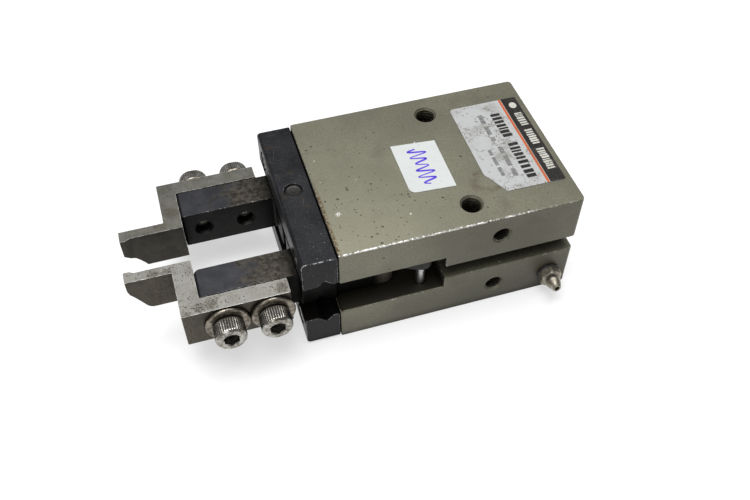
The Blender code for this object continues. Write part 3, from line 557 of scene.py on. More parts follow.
def black_steel():
    """Blue-black steel of the rails, with broken bright edges of bare metal and painted highlight,
    nicks and scratches; its end faces, inner faces and holes are painted shade.
    """
    p = Paint("black_steel", 0.6, 0.42)
    cloud = p.noise(7.0, 5.0, 1.0)
    p.colour = p.blend(p.step(cloud, 0.35, 0.7), (0.01, 0.0105, 0.0125), (0.019, 0.0195, 0.022))
    grain = p.noise(0.35, 3.0, 2.0)
    p.cover(p.step(grain, 0.45, 0.7, 0.0, 0.35), (0.05, 0.05, 0.052))
    p.cover(p.times(p.spots(1.6, 0.13, 0.22, 3.0), 0.6), (0.2, 0.2, 0.2))
    p.cover(p.scratches(0.75), (0.17, 0.17, 0.175))
    p.cover(p.clouds(5.0, 4.0, 5.0, 0.58, 0.7, 0.55), (0.04, 0.028, 0.016))
    # Painted shade: the rail's end faces are darker.
    end_face_shade = p.step(p.maths("ABSOLUTE", p.facing(1)), 0.5, 0.9)
    p.cover(p.times(end_face_shade, 0.55), (0.004, 0.004, 0.005))
    # Bright edges: bare metal and painted highlight, stronger higher up.
    bare_and_highlight = p.rubbed_edges_and_highlights(0.6, 1.3, 6.0, 0.75, 1.34, 1.52)
    bare_and_highlight = p.times(bare_and_highlight, p.plus(p.along(2, 10.0, 24.0, 0.65), 0.35))
    p.cover(bare_and_highlight, (0.36, 0.36, 0.36))
    # Painted shade: the inner faces between the rails, and the holes, go nearly black.
    inside = p.times(p.within(2, MID_Z, 9.0), p.within(1, 0.0, SIDE - 0.4))
    p.paint_shade_in_hollows(p.most(inside, p.hollow(8.0, 0.7, 0.36)), 0.6, 0.3)
    p.put("Roughness", p.step(cloud, 0.3, 0.7, 0.36, 0.48))
    return p.done(p.minus(grain, bare_and_highlight), 0.03, 0.6)


def finger_steel():
    """Blued steel, rubbed to a mottled brown-grey towards the rails, with a chipped outer edge; its
    side faces, a line at the bar's end and its holes are painted shade, and the tongue's round end
    painted light.
    """
    p = Paint("finger_steel", 0.6, 0.4)
    cloud = p.clouds(5.0, 4.0, 1.0, 0.35, 0.7)
    blue = p.blend(cloud, (0.024, 0.025, 0.029), (0.042, 0.042, 0.047))
    mottle = p.noise(1.1, 6.0, 2.0, rough=0.75)
    rubbed = p.blend(p.step(mottle, 0.38, 0.62), (0.016, 0.013, 0.01), (0.07, 0.063, 0.05))
    drift = p.times(p.minus(p.noise(4.0, 5.0, 3.0, rough=0.65), 0.5), 2.6)
    level = p.step(p.plus(p.along(0, FRONT + 31.0, FRONT + 15.0), drift), 0.2, 0.9)
    up = p.step(p.facing(2), 0.5, 0.9)
    # Painted shade: the side faces are nearly black.
    cloud = p.clouds(3.0, 4.0, 8.0, 0.35, 0.7)
    side = p.blend(cloud, (0.003, 0.003, 0.003), (0.008, 0.007, 0.006))
    p.colour = p.blend(up, side, p.blend(p.times(level, up), blue, rubbed))
    # Painted light: the tongue's round end is a lighter brown.
    tongue = p.along(0, FRONT - 11.0, FRONT - 14.5)
    p.cover(tongue, (0.115, 0.098, 0.082))
    p.cover(p.times(p.scratches(0.3), up), (0.18, 0.18, 0.17))
    off_holes = p.minus(1.0, p.within(2, MID_Z, 3.4))
    bare_and_highlight = p.times(p.rubbed_edges_and_highlights(0.32, 0.9, 6.0, 0.78, 1.42, 1.56), off_holes)
    p.cover(bare_and_highlight, (0.4, 0.39, 0.37))
    # Painted shadow: a near-black line at the bar's end, by the jaw.
    end_gap_shade = p.along(0, CROSS_X[0] - 0.75, CROSS_X[0] - 0.55)
    p.cover(end_gap_shade, (0.003, 0.003, 0.003))
    # Painted shade in holes and gaps, held back on the tongue's painted light.
    deep = p.times(p.hollow(8.0, 0.82, 0.48), p.minus(1.0, p.times(tongue, 0.75)))
    p.paint_shade_in_hollows(deep, 0.6, 0.25)
    p.put("Roughness", p.step(mottle, 0.3, 0.7, 0.36, 0.52))
    return p.done(mottle, 0.04, 0.5)


def ground_steel(name, light, dark, side, spoiled, pitted):
    """Ground steel of a jaw: fine lines, dark pits, rust patches and browner side faces, darker as
    painted shade.

    The spoiled places, given as (x, y, reach), have the most pits and rust.
    """
    p = Paint(name, 0.7, 0.42)
    lines = p.noise((14.0, 0.18, 14.0), 3.0, 1.0, (0.0, 0.0, 3.0))
    cloud = p.noise(5.0, 6.0, 2.0, rough=0.65)
    p.colour = p.blend(p.step(cloud, 0.35, 0.65), dark, light)
    p.cover(p.step(lines, 0.35, 0.65, 0.0, 0.3), dark)
    grain = p.noise(0.4, 3.0, 9.0, rough=0.7)
    p.cover(p.step(grain, 0.42, 0.62, 0.0, 0.45), scaled(dark, 0.6))
    # Painted shade: the side faces take the much darker side colour.
    up = p.step(p.facing(2), 0.4, 0.85)
    lower = p.blend(p.clouds(2.5, 5.0, 3.0, 0.35, 0.65), side, scaled(side, 1.5))
    p.colour = p.blend(up, lower, p.colour)
    bad = p.most(*(p.patch(*place, 20.0 + i) for i, place in enumerate(spoiled)))
    share = p.plus(p.times(bad, 0.6), pitted)
    pits = p.most(p.spots(1.0, 0.3, share, 4.0), p.spots(0.6, 0.34, share, 5.0))
    pits = p.times(pits, p.clouds(3.5, 3.0, 5.0, 0.32, 0.5))
    rust = p.clouds(4.0, 6.0, 6.0, 0.57, 0.66, rough=0.7)
    broken = p.clouds(0.5, 5.0, 7.0, 0.44, 0.56, rough=0.85)
    rust = p.times(p.most(p.times(rust, 0.7), bad), broken)
    p.cover(p.times(rust, 0.85), (0.062, 0.043, 0.02))
    p.cover(p.times(pits, 0.85), (0.024, 0.019, 0.012))
    p.cover(p.rubbed_edges_and_highlights(0.35, 1.1, 8.0, 0.75, 1.27, 1.45), (0.66, 0.65, 0.62))
    # Painted shade in holes and gaps.
    p.paint_shade_in_hollows(p.hollow(4.0, 0.55, 0.15), p.step(rust, 0.0, 1.0, 0.7, 0.1), 0.5)
    p.put("Roughness", p.step(cloud, 0.3, 0.7, 0.36, 0.52))
    return p.done(p.minus(p.times(lines, 0.3), p.plus(pits, p.times(rust, 0.6))), 0.06, 0.8)


def nickel(name, base, dull, roughness):
    """Dull nickel plate with brown film, darker in patches and bright on its edges, with painted
    shade in narrow gaps and holes.
    """
    p = Paint(name, 1.0, roughness)
    film = p.noise(1.3, 5.0, 1.0, rough=0.65)
    p.colour = p.blend(p.step(film, 0.38, 0.62), base, dull)
    p.cover(p.spots(0.6, 0.2, 0.25, 2.0), scaled(dull, 0.4))
    bare_and_highlight = p.step(p.plus(p.edge(0.22), p.times(film, 0.6)), 1.2, 1.36)
    p.cover(bare_and_highlight, (0.66, 0.645, 0.61))
    # Painted shade in narrow gaps.
    p.cover(p.times(p.hollow(0.5, 0.8, 0.4), 0.75), scaled(dull, 0.25))
    # Painted shade in holes.
    p.paint_shade_in_hollows(p.hollow(3.5, 0.58, 0.25), 1.0, 0.5)
    p.put("Roughness", p.step(film, 0.3, 0.7, roughness, roughness + 0.16))
    return p.done(p.noise(0.3, 2.0, 3.0), 0.02, 0.4)


def plain_metal(name, base, roughness, metallic=1.0):
    """Clean turned or rolled metal of the inner pieces: fine lines and a slight film."""
    p = Paint(name, metallic, roughness)
    film = p.noise(3.0, 4.0, 1.0)
    p.colour = p.blend(p.step(film, 0.35, 0.7), base, scaled(base, 0.7))
    p.put("Roughness", p.step(film, 0.3, 0.7, roughness, roughness + 0.12))
    return p.done(p.noise((0.12, 6.0, 6.0), 2.0, 2.0), 0.01, 0.4)


def rubber():
    p = Paint("nitrile", 0.0, 0.6)
    cloud = p.noise(2.0, 4.0, 1.0)
    p.colour = p.blend(cloud, (0.014, 0.014, 0.014), (0.034, 0.033, 0.031))
    p.put("Roughness", p.step(cloud, 0.3, 0.7, 0.5, 0.7))
    return p.done(p.noise(0.3), 0.03, 0.4)


def card(name, clean, dirty, wear, metallic=0.0, roughness=0.5):
    """Paper, foil or print: a clean colour with smudges, specks, scratches, creases and rubs."""
    p = Paint(name, metallic, roughness)
    p.put("Specular IOR Level", 0.25)
    smudge = p.clouds(6.0, 5.0, 1.0, 0.45, 0.7)
    p.colour = p.blend(p.times(smudge, wear * 0.45), clean, dirty)
    specks = p.times(p.spots(1.3, 0.24, 0.45 * wear, 2.0), 0.8)
    torn = p.clouds(1.3, 6.0, 3.0, 0.6, 0.66, wear, 0.78)
    vein = p.maths("ABSOLUTE", p.minus(p.noise(6.0, 5.0, 9.0, rough=0.6), 0.5))
    crease = p.step(vein, 0.009, 0.003, 0.0, wear)
    crease = p.times(crease, p.clouds(8.0, 2.0, 10.0, 0.44, 0.56))
    p.cover(p.most(specks, torn, p.scratches(0.5 * wear), crease), dirty)
    return p.done(p.noise(0.25, 3.0, 4.0), 0.015, 0.4)


# Light, dark and side colours, spoiled places, and the share of pits elsewhere; the side colours
# are darker as painted shade.
JAWS = {
    "near_jaw_steel": (
        (0.285, 0.28, 0.255),
        (0.19, 0.184, 0.162),
        (0.041, 0.036, 0.026),
        (
            (FRONT + 46.0, 8.9, 2.6), (FRONT + 43.0, 8.6, 2.2), (FRONT + 33.5, 22.2, 3.0),
            (FRONT + 36.5, 22.6, 2.4), (FRONT + 14.8, 22.3, 2.8), (FRONT + 40.2, 24.8, 2.6),
        ),
        0.26,
    ),
    # Painted shade: the far jaw's colours are darker copies of the near jaw's.
    "far_jaw_steel": (
        (0.172, 0.167, 0.148),
        (0.112, 0.107, 0.09),
        (0.027, 0.024, 0.018),
        ((FRONT + 42.0, -8.6, 3.0), (FRONT + 38.5, -13.0, 2.6)),
        0.05,
    ),
}
# Clean colour, dull colour and roughness.
NICKELS = {
    "nickel_screw": ((0.42, 0.41, 0.38), (0.15, 0.135, 0.11), 0.2),
    "washer_nickel": ((0.27, 0.245, 0.205), (0.095, 0.08, 0.06), 0.26),
    "nickel_brass": ((0.38, 0.35, 0.29), (0.2, 0.18, 0.14), 0.36),
}
# Colour, roughness and how metallic it is.
METALS = {
    "spring_steel": ((0.045, 0.044, 0.041), 0.48),
    # Painted shade: near-black steel for the levers in the slot.
    "greasy_steel": ((0.009, 0.008, 0.007), 0.55, 0.3),
    "bearing_steel": ((0.5, 0.5, 0.49), 0.27),
    "bronze": ((0.5, 0.3, 0.13), 0.38),
    "magnet": ((0.08, 0.08, 0.085), 0.6, 0.2),
}
# Clean colour, dirty colour, wear, how metallic it is, and roughness.
CARDS = {
    "paper": ((0.52, 0.54, 0.53), (0.4, 0.39, 0.36), 0.25, 0.0, 0.6),
    "foil": ((0.43, 0.435, 0.435), (0.13, 0.12, 0.09), 0.9, 0.2, 0.45),
    "black_print": ((0.012, 0.011, 0.01), (0.085, 0.078, 0.066), 0.4),
    "fine_print": ((0.075, 0.073, 0.07), (0.2, 0.2, 0.19), 0.7, 0.0, 0.45),
    "orange_print": ((0.44, 0.095, 0.026), (0.13, 0.085, 0.05), 1.0),
    "white_print": ((0.5, 0.49, 0.44), (0.1, 0.095, 0.08), 0.7),
    "violet_ink": ((0.085, 0.04, 0.5), (0.18, 0.13, 0.62), 0.4),
}
FINISHES = {
    "anodised_aluminium": anodised(),
    "black_steel": black_steel(),
    "finger_steel": finger_steel(),
    "nitrile": rubber(),
}
for make, looks in ((ground_steel, JAWS), (nickel, NICKELS), (plain_metal, METALS), (card, CARDS)):
    FINISHES.update({name: make(name, *look) for name, look in looks.items()})


# ---- fixed pieces


def body_shell():
    """The body: a block with rounded corners, the fork's slot, sensor grooves, bore and holes."""
    corners = [(REAR, FAR_SIDE, 1.2), (FRONT, FAR_SIDE, 0.5), (FRONT, SIDE, 0.5), (REAR, SIDE, 1.2)]
    made = prism("body_shell", filleted(corners), 2, BOTTOM, TOP)
    slot_z = (MID_Z - SLOT_HEIGHT / 2, MID_Z + SLOT_HEIGHT / 2)
    groove_z = (MID_Z - GROOVE_HEIGHT / 2, MID_Z + GROOVE_HEIGHT / 2)
    cutters = [block("slot", (SLOT_END, FRONT + OVER), (FAR_SIDE - OVER, SIDE + OVER), slot_z)]
    for sign in (-1, 1):
        ys = sorted((sign * (SIDE - GROOVE_DEPTH), sign * (SIDE + OVER)))
        cutters.append(block("groove", (REAR - OVER, SLOT_END + OVER), ys, groove_z))
    carve(made, cutters)
    soften(made, 0.28)
    carve(made, [bore_cutter(), *hole_cutters()])
    return show(made, "body", "anodised_aluminium", "body")


def bore_cutter():
    """Cylinder, ring groove, rod gland and rod hole as one stepped shape along X."""
    profile = [
        (REAR - OVER, BORE + 0.5), (REAR - 0.05, BORE + 0.5), (REAR + 0.4, BORE),
        (REAR + 0.9, BORE), (REAR + 0.9, RING_GROOVE), (REAR + 2.1, RING_GROOVE),
        (REAR + 2.1, BORE), (FRONT - 40.0, BORE), (FRONT - 40.0, GLAND), (FRONT - 32.0, GLAND),
        (FRONT - 32.0, ROD_HOLE), (SLOT_END + OVER, ROD_HOLE),
    ]
    return turned("bore", profile, 0, (0.0, 0.0, MID_Z), 96)


def hole_cutters():
    made = []
    for sign in (-1, 1):
        pin = (PIVOT[0], sign * PIVOT[1], 0.0)
        made.append(drilled("pivot_hole", pin, 2, (-OVER, 27.8), PIVOT[2] + 0.2))
        for level, outward in ((TOP, 1), (BOTTOM, -1)):
            place = (MOUNT_X, sign * MOUNT_Y, level)
            made.append(threaded("mount_hole", place, 2, outward, M6, *MOUNT_HOLE))
        for up in (-1, 1):
            place = (FRONT, sign * RAIL_SCREW_Y, MID_Z + up * RAIL_SCREW_OFFSET)
            made.append(drilled("rail_screw_hole", place, 0, (-9.0, OVER), 1.7))
    for x, z in ((PORT_X, PORT_Z[0]), (PORT_X, PORT_Z[1]), (FITTING_X, FITTING_Z)):
        made.append(threaded("port", (x, SIDE, z), 1, 1, M5, *PORT_HOLE))
        made.append(drilled("passage", (x, 0.0, z), 1, (2.0, SIDE - 8.0), 0.9, 16))
    return made


def guide_rail(level, up):
    """A rail with a V groove inside, rounded outer edges, two counterbored screws and a plug."""
    name = "guide_rail_" + level
    (back, front), (low_y, high_y), zs = spans(name)
    inner, outer = sorted(abs(z - MID_Z) for z in zs)
    corners = [
        (inner, back, 0.0), (inner, V_X - V_HALF, 0.0), (inner + V_HALF, V_X, 0.25),
        (inner, V_X + V_HALF, 0.0), (inner, front, 0.4), (outer, front, 1.1), (outer, back, 0.35),
    ]
    outline = [(MID_Z + up * height, x) for height, x in filleted(corners)]
    made = soften(prism(name + "_steel", outline, 1, low_y, high_y), 0.22)
    cutters = []
    for sign in (-1, 1):
        bore = [(back - OVER, 1.7), (front - 3.4, 1.7), (front - 3.4, 3.0), (front - 0.2, 3.0)]
        bore += [(front, 3.2), (front + OVER, 3.2)]
        centre = (0.0, sign * RAIL_SCREW_Y, MID_Z + up * RAIL_SCREW_OFFSET)
        cutters.append(turned("counterbore", bore, 0, centre, 48))
    x, y, radius = PLUG
    face = MID_Z + up * outer
    rim = radius + 0.15
    seat = [(up * OVER, rim), (0.0, rim), (-up * 0.15, radius), (-up * 6.0, radius)]
    cutters.append(turned("plug_seat", seat, 2, (x, y, face), 48))
    carve(made, cutters)
    return show(made, "body", "black_steel", name)


def rail_plug(level, up):
    """The plug's visible end is a shallow dish with a centre mark."""
    name = "rail_plug_" + level
    (low_x, high_x), _, zs = spans(name)
    radius = (high_x - low_x) / 2
    face = zs[1] if up > 0 else zs[0]
    back = zs[0] if up > 0 else zs[1]
    profile = [
        (back - face, radius - 0.3), (back - face + up * 0.3, radius), (-up * 0.25, radius),
        (-up * 0.06, radius - 0.08), (0.0, radius - 0.25), (-up * 0.1, radius * 0.82),
        (-up * 0.16, radius * 0.55), (-up * 0.12, radius * 0.3), (-up * 0.3, 0.1),
    ]
    made = turned(name + "_dish", profile, 2, (PLUG[0], PLUG[1], face), 48)
    return show(made, "body", "spring_steel", name)


def knurl(radius, depth, count):
    """The radius of a straight knurl with that many teeth, as a function of the angle."""

    def reach(angle, distance):
        turn = (angle * count / (2 * math.pi)) % 1.0
        return radius - depth * abs(2 * turn - 1)

    return reach


def cap_screw(name, origin, axis, outward, length, head, height, shank, flats, teeth):
    """A socket head screw with a knurled rim, a bright chamfer and a broached hexagon.

    Its head's underside is at the origin and its head points outward along the axis.
    """
    grip = knurl(head, 0.16, teeth)
    chamfer = height * 0.1
    profile = [
        (-length, shank - 0.4), (-length + 0.4, shank), (0.0, shank), (0.0, head - 0.55),
        (0.25, head - 0.22), (0.5, grip), (height - chamfer - 0.35, grip),
        (height - chamfer - 0.1, head - 0.2), (height - chamfer, head - 0.17),
        (height - chamfer * 0.2, head - 0.17 - chamfer * 0.7),
        (height, head - 0.3 - chamfer * 0.8),
    ]
    made = turned(name, pointed(profile, outward), axis, origin, teeth * 4)
    six = [(height * 0.45, hexagon(flats)), (height + OVER, hexagon(flats))]
    mouth = flats * 0.5 + 0.45
    cone = [(height - 0.3, flats * 0.5), (height + 0.05, mouth), (height + OVER, mouth)]
    drill = [(height * 0.3, 0.05), (height * 0.48, flats * 0.5), (height * 0.6, flats * 0.5)]
    cutters = []
    for label, points, count in (("six", six, 6), ("cone", cone, 48), ("drill", drill, 32)):
        cutters.append(turned(label, pointed(points, outward), axis, origin, count))
    return carve(made, cutters)


def rail_screws():
    for level, up in (("upper", 1), ("lower", -1)):
        for side, sign in (("near", 1), ("far", -1)):
            node = f"rail_screw_{level}_{side}"
            (low_x, high_x), _, _ = spans(node)
            height = RAIL_SCREW["height"]
            origin = (high_x - height, sign * RAIL_SCREW_Y, MID_Z + up * RAIL_SCREW_OFFSET)
            length = high_x - height - low_x
            made = cap_screw(node + "_cap", origin, 0, 1, length, **RAIL_SCREW)
            show(made, "body", "nickel_screw", node)


def hose_fitting():
    """A barbed fitting: stem, hexagon with turned-off corners, neck and one barb."""
    flats = 6.0
    corner = flats / math.sqrt(3)

    def six(limit):
        return lambda angle, distance: min(hexagon(flats)(angle, distance), limit)

    profile = [
        (-6.0, 1.7), (-5.6, 2.1), (0.65, 2.1), (0.7, six(corner - 0.35)),
        (0.95, six(corner - 0.05)), (2.65, six(corner - 0.05)), (2.95, six(corner - 0.38)),
        (3.05, 2.7), (3.25, 1.9), (3.4, 1.55), (3.85, 1.5), (4.0, 2.05), (4.12, 2.2),
        (4.3, 2.19), (6.6, 1.32), (6.85, 1.15), (6.9, 0.98), (6.75, 0.8), (-6.0, 0.8),
    ]
    origin = (FITTING_X, SIDE, FITTING_Z)
    made = turned("hose_fitting_barb", profile, 1, origin, 72, hollow=True)
    show(made, "body", "nickel_brass", "hose_fitting")
    ring = [(0.33 + 0.28 * math.sin(a), 2.8 + 0.45 * math.cos(a)) for a in turns(16)]
    gasket = turned("fitting_gasket_ring", ring, 1, origin, 48, hollow=True)
    show(gasket, "body", "nitrile", "fitting_gasket")


def pins():
    """Pivot pins, and the drive pins of the fingers, as smooth dowels."""
    for side in ("near", "far"):
        for node, body in (("pivot_pin_" + side, "body"), ("drive_pin_" + side, "finger_" + side)):
            (low_x, high_x), (low_y, high_y), (low_z, high_z) = spans(node)
            radius = (high_y - low_y) / 2
            centre = ((low_x + high_x) / 2, (low_y + high_y) / 2, 0.0)
            ends = ((low_z, 0.3), (low_z + 0.1, 0.1), (low_z + 0.3, 0.0))
            ends += ((high_z - 0.3, 0.0), (high_z - 0.1, 0.1), (high_z, 0.3))
            profile = [(z, radius - inset) for z, inset in ends]
            made = turned(node + "_dowel", profile, 2, centre, 40)
            show(made, body, "bearing_steel", node)


def rear_closure():
    """The cover with its turned rings, and the spring ring that holds it."""
    low, high = spans("head_cover")[0]
    radius = BORE - 0.2
    profile = [
        (low + 0.8, 0.3), (low + 0.8, 3.9), (low + 0.72, 4.0), (low + 0.1, 4.0), (low, 4.1),
        (low, radius - 0.5), (low + 0.12, radius - 0.15), (low + 0.4, radius),
        (low + 0.6, radius), (low + 0.6, radius - 1.4), (low + 2.2, radius - 1.4),
        (low + 2.2, radius), (high, radius), (high, 0.3),
    ]
    cover = turned("head_cover_disc", profile, 0, (0.0, 0.0, MID_Z), 96, hollow=True)
    show(cover, "body", "anodised_aluminium", "head_cover")
    ring_low, ring_high = spans("retaining_ring")[0]
    opening, outer, inner, ear = 14.0, 13.1, 11.2, 9.3
    outline = arc((0.0, MID_Z), outer, 90 + opening, 450 - opening, 80)
    outline += arc((0.0, MID_Z), ear, 450 - opening, 450 - opening - 12, 5)
    outline += arc((0.0, MID_Z), inner, 450 - opening - 18, 90 + opening + 18, 70)
    outline += arc((0.0, MID_Z), ear, 90 + opening + 12, 90 + opening, 5)
    ring = soften(prism("retaining_ring_wire", outline, 0, ring_low, ring_high), 0.12, 2)
    drills = []
    reach = (ring_low - OVER, ring_high + OVER)
    for angle in (90 - opening - 6, 90 + opening + 6):
        y, z = arc((0.0, MID_Z), 10.5, angle, angle, 1)[0]
        drills.append(drilled("ear_hole", (0.0, y, z), 0, reach, 0.6, 24))
    carve(ring, drills)
    show(ring, "body", "spring_steel", "retaining_ring")


# ---- moving pieces


def finger(side, sign):
    """A finger: slider between the rails, bar in front and rounded tongue behind."""
    node = "finger_" + side
    bar_front = spans(node)[0][1] + BAR_EXTRA
    low_z, high_z = spans(node)[2]
    low_y, high_y = sorted(abs(y) for y in spans(node)[1])
    drive_x, drive_y, tongue = DRIVE
    corners = [
        (SLIDER_X[0], low_y, 0.3), (SLIDER_X[1], low_y, 0.6), (SLIDER_X[1], BAR_Y[0], 0.8),
        (bar_front, BAR_Y[0], BAR_CORNER[side]), (bar_front, BAR_Y[1], 0.5),
        (SLIDER_X[1], BAR_Y[1], 0.4), (SLIDER_X[1], high_y, 0.4), (SLIDER_X[0], high_y, 0.4),
        (SLIDER_X[0], drive_y + tongue, 0.0), (drive_x - tongue, drive_y + tongue, tongue * 0.98),
        (drive_x - tongue, drive_y - tongue, tongue * 0.98), (SLIDER_X[0], drive_y - tongue, 0.0),
    ]
    plan = [(x, sign * y) for x, y in filleted(corners, 8)]
    made = prism(node + "_steel", plan, 2, low_z, high_z)
    ys = sorted((0.0, sign * SIDE))
    reach = (drive_x - tongue - OVER, SLIDER_X[0])
    step = sorted((MID_Z + sign * TONGUE_STEP, MID_Z + sign * (high_z - MID_Z + OVER)))
    cutters = [block("step", reach, ys, step)]
    for up in (-1, 1):
        face = MID_Z + up * (high_z - MID_Z)
        mouth = face + up * OVER
        wedge = [(mouth, V_X - V_HALF - OVER), (face - up * (V_HALF - 0.1), V_X)]
        wedge.append((mouth, V_X + V_HALF + OVER))
        cutters.append(prism("wedge", wedge, 1, *ys))
    soften(carve(made, cutters), 0.2)
    holes = []
    way = tuple(sorted((sign * 14.0, sign * 21.0)))
    for x in JAW_SCREW_X:
        mouth = (x, sign * BAR_Y[0], MID_Z)
        holes.append(threaded("tap", mouth, 1, -sign, FINGER_TAP, *FINGER_HOLE))
        holes.append(drilled("way", (x, 0.0, MID_Z), 1, way, 2.4))
    seat = tuple(sorted((MID_Z - sign * 3.2, MID_Z + sign * (TONGUE_STEP + OVER))))
    holes.append(drilled("seat", (drive_x, sign * drive_y, 0.0), 2, seat, 1.55))
    return show(carve(made, holes), node, "black_steel", node, finish="finger_steel")


def jaw_bevel(side, front, bottom):
    """The cut across a tip's lower front corner, straight on the near jaw and hollow on the far."""
    if side == "near":
        steps = [(-1.0, 8.6), (0.0, 8.6), (0.4, 7.1), (1.7, 5.2), (4.0, 1.2), (4.6, 0.5)]
        steps.append((5.8, -0.1))
        cut = [(front - back, bottom + rise) for back, rise in steps]
    else:
        cut = [(front + OVER, bottom + 5.9)]
        cut += arc((front + 8.3, bottom - 7.6), 15.9, 121, 152, 12)
    return [(front + OVER, bottom - OVER), *cut, (cut[-1][0], bottom - OVER)]


def jaw(side, sign):
    """An offset jaw: a leg along the finger, a cross leg over its end and a tip with a lip."""
    node = "jaw_" + side
    (leg_rear, _), ys, (bottom, top) = spans(node)
    leg_outer = max(abs(y) for y in ys)
    advance = ADVANCE[side]
    cross_rear, cross_front = CROSS_X[0], CROSS_X[1] + advance
    front = TIP_FRONT + advance
    tip_inner, tip_outer = TIP_Y[side]
    lip = LIP[2]
    corners = [
        (leg_rear, LEG_INNER, 0.2), (cross_rear, LEG_INNER, 0.5), (cross_rear, tip_inner, 0.0),
        (LIP[0] + advance - 1.5, tip_inner, 1.2),
        (LIP[1] + advance - 0.9, tip_inner - lip, 0.8), (front, tip_inner - lip, 0.15),
        (front, tip_outer, 0.2), (cross_front, tip_outer, 0.3), (cross_front, leg_outer, 0.3),
        (leg_rear, leg_outer, 0.3),
    ]
    plan = [(x, sign * y) for x, y in filleted(corners, 3)]
    made = prism(node + "_steel", plan, 2, bottom, top)
    ys = sorted((sign * (tip_inner - 2 * lip), sign * (tip_outer + 0.6)))
    corner = [(z, x) for x, z in jaw_bevel(side, front, bottom)]
    soften(carve(made, [prism("bevel", corner, 1, *ys)]), 0.16)
    reach = tuple(sorted((sign * (LEG_INNER - OVER), sign * (leg_outer + OVER))))
    carve(made, [drilled("bolt_hole", (x, 0.0, MID_Z), 1, reach, WASHER[1]) for x in JAW_SCREW_X])
    return show(made, "finger_" + side, "ground_steel", node, finish=side + "_jaw_steel")


def jaw_fasteners(side, sign):
    """A rounded washer and a knurled screw at each of the jaw's two holes."""
    body = "finger_" + side
    for end, x in zip(("front", "rear"), JAW_SCREW_X):
        node = f"washer_{side}_{end}"
        low, high = sorted(abs(y) for y in spans(node)[1])
        outer, inner = WASHER
        rim = (high - low) / 2
        middle = (low + high) / 2
        edge = [(middle + rim * math.sin(a), outer - rim + rim * math.cos(a)) for a in half_turn(8)]
        bore = [(high, inner + 0.2), (high - 0.2, inner), (low + 0.2, inner), (low, inner + 0.2)]
        profile = pointed(edge + bore, sign)
        washer = turned(node + "_ring", profile, 1, (x, 0.0, MID_Z), 72, True)
        show(washer, body, "nickel_screw", node, finish="washer_nickel")
        node = f"jaw_screw_{side}_{end}"
        inside, tip = sorted(abs(y) for y in spans(node)[1])
        seat = tip - JAW_SCREW["height"]
        origin = (x, sign * seat, MID_Z)
        screw = cap_screw(node + "_cap", origin, 1, sign, seat - inside, **JAW_SCREW)
        show(screw, body, "nickel_screw", node)


# ---- labels


def flat_sheet(name, corners, low, thickness, slot, material, *nodes):
    made = prism(name, filleted(corners, 6), 2, low, low + thickness)
    return show(made, "body", slot, *nodes, finish=material)


def strokes(name, rows, low, material, seed):
    """Rows of narrow strokes of uneven width, in groups along Y, standing for print.

    A row is (x, start, end, height, thinnest, thickest).
    """
    choose = random.Random(seed)
    form = bmesh.new()
    for x, start, end, height, thinnest, thickest in rows:
        y = start
        left = choose.randint(6, 10)
        while y < end:
            width = choose.uniform(thinnest, thickest)
            below, above = (height / 2 * choose.uniform(0.82, 1.0) for _ in range(2))
            outline = rectangle((x - below, x + above), (y, y + width))
            add_prism(form, outline, 2, low, low + PRINT)
            y += width + thinnest * choose.uniform(0.6, 1.2)
            left -= 1
            if not left:
                y += height * 0.7
                left = choose.randint(6, 10)
    return show(solid(name, form), "body", "foil", finish=material)


def name_plate():
    """The worn plate: a dark band at the rear, a thin orange line and rows of plain dashes."""
    low, high = spans("name_plate")[2]
    rear = FRONT - 67.2
    band_front = FRONT - 62.6
    far_edge = -18.4
    near_edge = 17.3
    plate = [
        (rear, far_edge, 0.5), (FRONT - 46.4, far_edge, 1.2), (FRONT - 46.1, 9.6, 0.4),
        (FRONT - 50.0, 17.2, 0.4), (rear, 17.4, 0.5),
    ]
    flat_sheet("name_plate_foil", plate, low, high - low, "foil", "foil", "name_plate")
    band = [(rear, far_edge, 0.5), (band_front, far_edge, 0.0), (band_front, near_edge, 0.0)]
    band.append((rear, 17.4, 0.5))
    flat_sheet("plate_band", band, high, PRINT, "foil", "black_print")
    line = (band_front + 0.15, band_front + 0.85)
    stripe = [(x, y, 0.0) for x, y in rectangle(line, (far_edge, near_edge))]
    flat_sheet("plate_line", stripe, high, PRINT, "foil", "orange_print")
    bold = [(FRONT - 58.6, -13.0, 13.0, 3.1, 0.55, 1.5)]
    strokes("plate_bold_strokes", bold, high, "black_print", 3)
    fine = [
        (FRONT - 54.0, -13.5, -2.0, 1.5, 0.16, 0.34), (FRONT - 54.6, 0.5, 13.5, 1.5, 0.16, 0.34),
        (FRONT - 51.2, 1.0, 12.5, 1.2, 0.14, 0.3),
    ]
    strokes("plate_fine_strokes", fine, high, "fine_print", 5)
    pale = [(FRONT - 65.2, -11.5, 14.0, 2.5, 0.32, 0.78)]
    strokes("plate_band_strokes", pale, high + PRINT, "white_print", 8)
    spot = [(2 * math.cos(a), 1.3 * math.sin(a)) for a in turns(24)]
    spot = [(FRONT - 65.2 + 0.55 * x, -15.0 + y, 0.0) for x, y in spot]
    flat_sheet("plate_band_spot", spot, high + PRINT, PRINT, "foil", "white_print")


def paper_label():
    """A paper sticker with one round corner and a pen's wavy line."""
    low, high = spans("paper_label")[2]
    sheet = [
        (FRONT - 37.8, -7.5, 0.2), (FRONT - 24.9, -8.6, 0.2), (FRONT - 24.6, 10.4, 1.9),
        (FRONT - 37.5, 11.2, 0.2),
    ]
    flat_sheet("paper_label_sheet", sheet, low, high - low, "paper", "paper", "paper_label")
    pen_line("pen_line", FRONT - 31.2, -5.6, 8.4, 2.6, 5.5, high)


